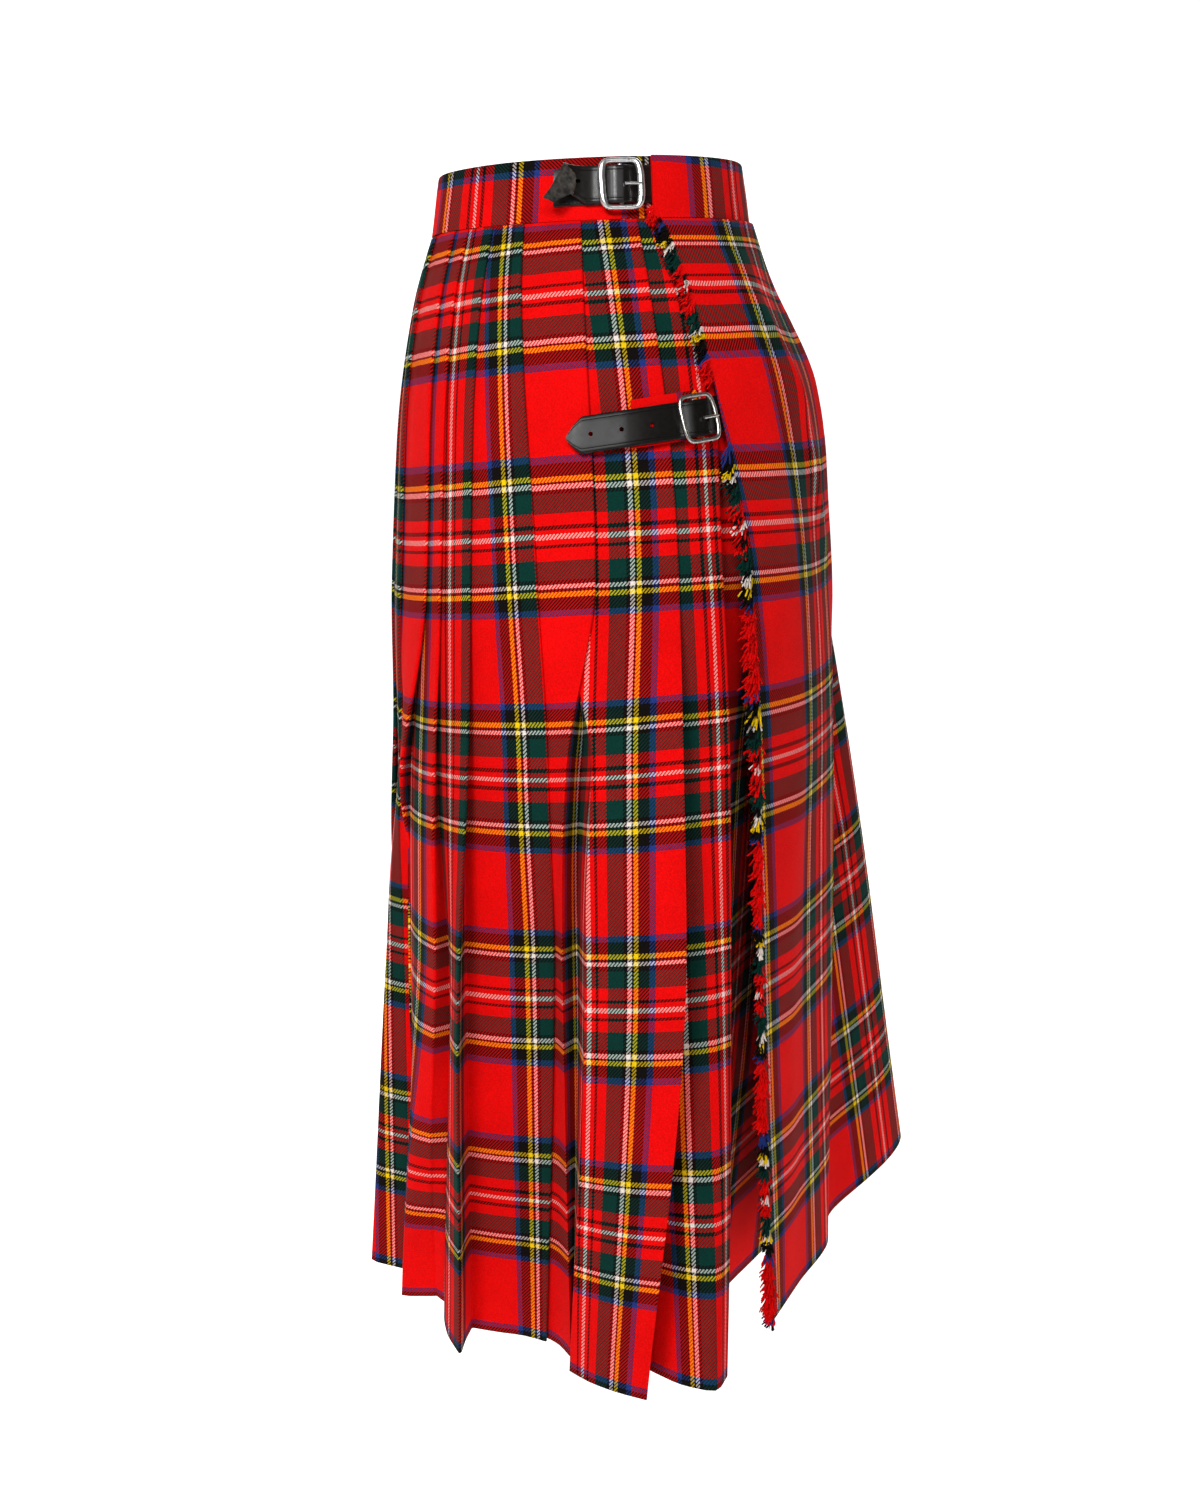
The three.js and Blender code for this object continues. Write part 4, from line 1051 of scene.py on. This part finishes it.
bright = metal("bright_steel", (0.9, 0.9, 0.89), 0.24, 0.12)
waist_seat = seat(on_band, WAIST_BUCKLE["angle"])
ring = buckle_ring(waist_seat, WAIST_BUCKLE["across"], WAIST_BUCKLE["up"], WAIST_BUCKLE["ring"])
widths = [1.75 + 0.75 * abs(c) ** 3 * (1 - abs(s) ** 6) for c, s, _ in ring]
waist_frame = swept("waist_buckle_ring", waist_seat, [p for _, _, p in ring], widths, closed=True, flat=0.8)
waist_bar, waist_prong = bar_and_prong("waist", waist_seat, WAIST_BUCKLE)
for piece, node in ((waist_frame, "waist_buckle_frame"), (waist_bar, "waist_buckle_bar"),
                    (waist_prong, "waist_prong")):
    piece.data.materials.append(bright)
    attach(piece, "root")
    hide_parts(node)

# Hip strap
# The same leather, cut to a point and punched. It is sewn beneath the over-apron's edge and
# runs through the hip buckle and back over the stitched pleats.
HIP_BUCKLE = {"angle": -25.5, "drop": 144.5, "across": 12, "up": 15.3, "ring": 12.9, "bar": 9.1, "prong": 16.0}
HIP_STRAP = {  # its path from the sewn end to the point, and the share of its width there
    "angle": [-40, -36, -32.5, -30.2, -27.6, -26.3, -24.7, -23.4, -20.6, -17, -13, -9, -5, -1, 1.6,
              3.6, 5.4],
    "stand": [6.4, 6.4, 6.6, 7.6, 11.5, 12.4, 12.4, 11.5, 8.6, 8.6, 8.6, 8.5, 7.7, 7.1, 7.1, 7.1, 7.3],
    "share": [1] * 15 + [0.62, 0.12],
}
HIP_SLOPE = 0.34       # the strap runs down by this for each degree towards the back


def on_hip(angle, up, stand):
    """Point over the hip by angle, height over the strap's middle and stand off the figure."""
    drop = HIP_BUCKLE["drop"] + HIP_SLOPE * (angle - HIP_BUCKLE["angle"]) - up
    plan, flat = (plan_points([angle], [off], half_widths(drop)) for off in (stand, 0))
    return np.array([plan[0, 0], plan[0, 1], float(heights(flat, drop)[0])])


hip_strap = strap_mesh("hip_strap_leather", HIP_STRAP, on_hip, steps=110)
hip_strap.data.materials.append(leather("hip_strap_leather", 0.32, 0.2))
punched(hip_strap, [on_hip(angle, 0, through(HIP_STRAP["angle"], HIP_STRAP["stand"], angle))
                    for angle in (-14.5, -7.5, -0.6)])
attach(hip_strap, "root")
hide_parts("hip_strap")

# Hip buckle
# An aged silver-coloured wire buckle with its centre bar in the cloth tab, and its prong
# through the strap.
aged = metal("aged_steel", (0.66, 0.64, 0.60), 0.24, 0.8)
hip_seat = seat(on_hip, HIP_BUCKLE["angle"])
HIP_WIRE = 2.9
ring = buckle_ring(hip_seat, HIP_BUCKLE["across"] - 0.5, HIP_BUCKLE["up"], HIP_BUCKLE["ring"])
hip_frame = swept("hip_buckle_ring", hip_seat, [p for _, _, p in ring], [HIP_WIRE / 2] * len(ring),
                  closed=True, flat=0.85)
hip_bar, hip_prong = bar_and_prong("hip", hip_seat, HIP_BUCKLE)
for piece, node in ((hip_frame, "hip_buckle_frame"), (hip_bar, "hip_buckle_bar"), (hip_prong, "hip_prong")):
    piece.data.materials.append(aged)
    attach(piece, "root")
    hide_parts(node)

# Hip tab
# A folded tab of the tartan that holds the hip buckle's bar, sewn to the first pleats with its
# check matched to theirs.
TAB_STAND, TAB_THICK = 6.3, 1.2
TAB_UNITS = 620        # units of the tartan at the tab's front
tab_angles = np.linspace(-27.5, -10, 30)
tab_ups = np.linspace(18.5, -14, 12)
lines = np.array([[on_hip(a, up, TAB_STAND) for a in tab_angles] for up in tab_ups])
size = np.linalg.norm(lines[0, 1] - lines[0, 0])
units = TAB_UNITS - np.arange(len(tab_angles)) * size / UNIT_AROUND
across = np.array([np.column_stack([units, units])] * len(tab_ups))
hip_tab = cloth_shell("hip_tab_cloth", lines, TAB_THICK, across,
                      (HIP_BUCKLE["drop"] - tab_ups - WEFT_START) / UNIT_DOWN)
hip_tab.data.materials.append(wool)
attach(hip_tab, "root")
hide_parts("hip_buckle_tab")

# Floor and lights
# A plain white floor well below the hem that glows, faintly in front of the skirt and brightly behind it, a
# white room and three broad soft lamps.
FLOOR_LEVEL = -1020
bend = [(3 + 1.6 * math.sin(t), 1.6 - 1.6 * math.cos(t)) for t in np.linspace(0, math.pi / 2, 16)]
sweep = [(-14, 0)] + bend + [(4.6, 9)]     # in metres, the way the camera looks and up
floor = piece_of("studio_sweep",
                 [(1000 * x, 1000 * y, 1000 * z + FLOOR_LEVEL) for x, z in sweep for y in (-12, 12)],
                 [[2 * n, 2 * n + 2, 2 * n + 3, 2 * n + 1] for n in range(len(sweep) - 1)])
paint, tree, where = new_material("glowing_white_sheet", Roughness=0.9, Emission_Color=(1, 1, 1, 1))
tint = mixed(tree, noise(tree, where, 3, 2), (0.9, 0.9, 0.9), (0.94, 0.94, 0.94))
behind = place(tree, "SeparateXYZ", {0: where}).outputs[0]
# Painted light: the sheet glows, barely in front of the skirt and strongly behind it, so the backdrop shows
# white.
dress(tree, Base_Color=tint, Emission_Strength=spread(tree, behind, -0.7, 0.0, 0.05, 0.8))
floor.data.materials.append(paint)

world = bpy.data.worlds.new("white_room")
scene.world = world
world.use_nodes = True
background = world.node_tree.nodes["Background"]
background.inputs["Color"].default_value = (1, 1, 1, 1)
background.inputs["Strength"].default_value = 0.06
AIM = Vector((0, 0, -0.4))
for name, spot, size, power in (
        ("key_lamp", (-2.0, 0.65, 1.0), 0.7, 41),
        ("front_lamp", (-2.3, -0.2, 0.9), 0.5, 15),
        ("far_lamp", (2.2, -0.6, 1.2), 1.6, 20)):
    glow = bpy.data.lights.new(name, "AREA")
    glow.shape, glow.size, glow.energy = "DISK", size, power
    lamp = bpy.data.objects.new(name, glow)
    lamp.location = spot
    lamp.rotation_euler = (AIM - Vector(spot)).to_track_quat("-Z", "Y").to_euler()
    scene.collection.objects.link(lamp)
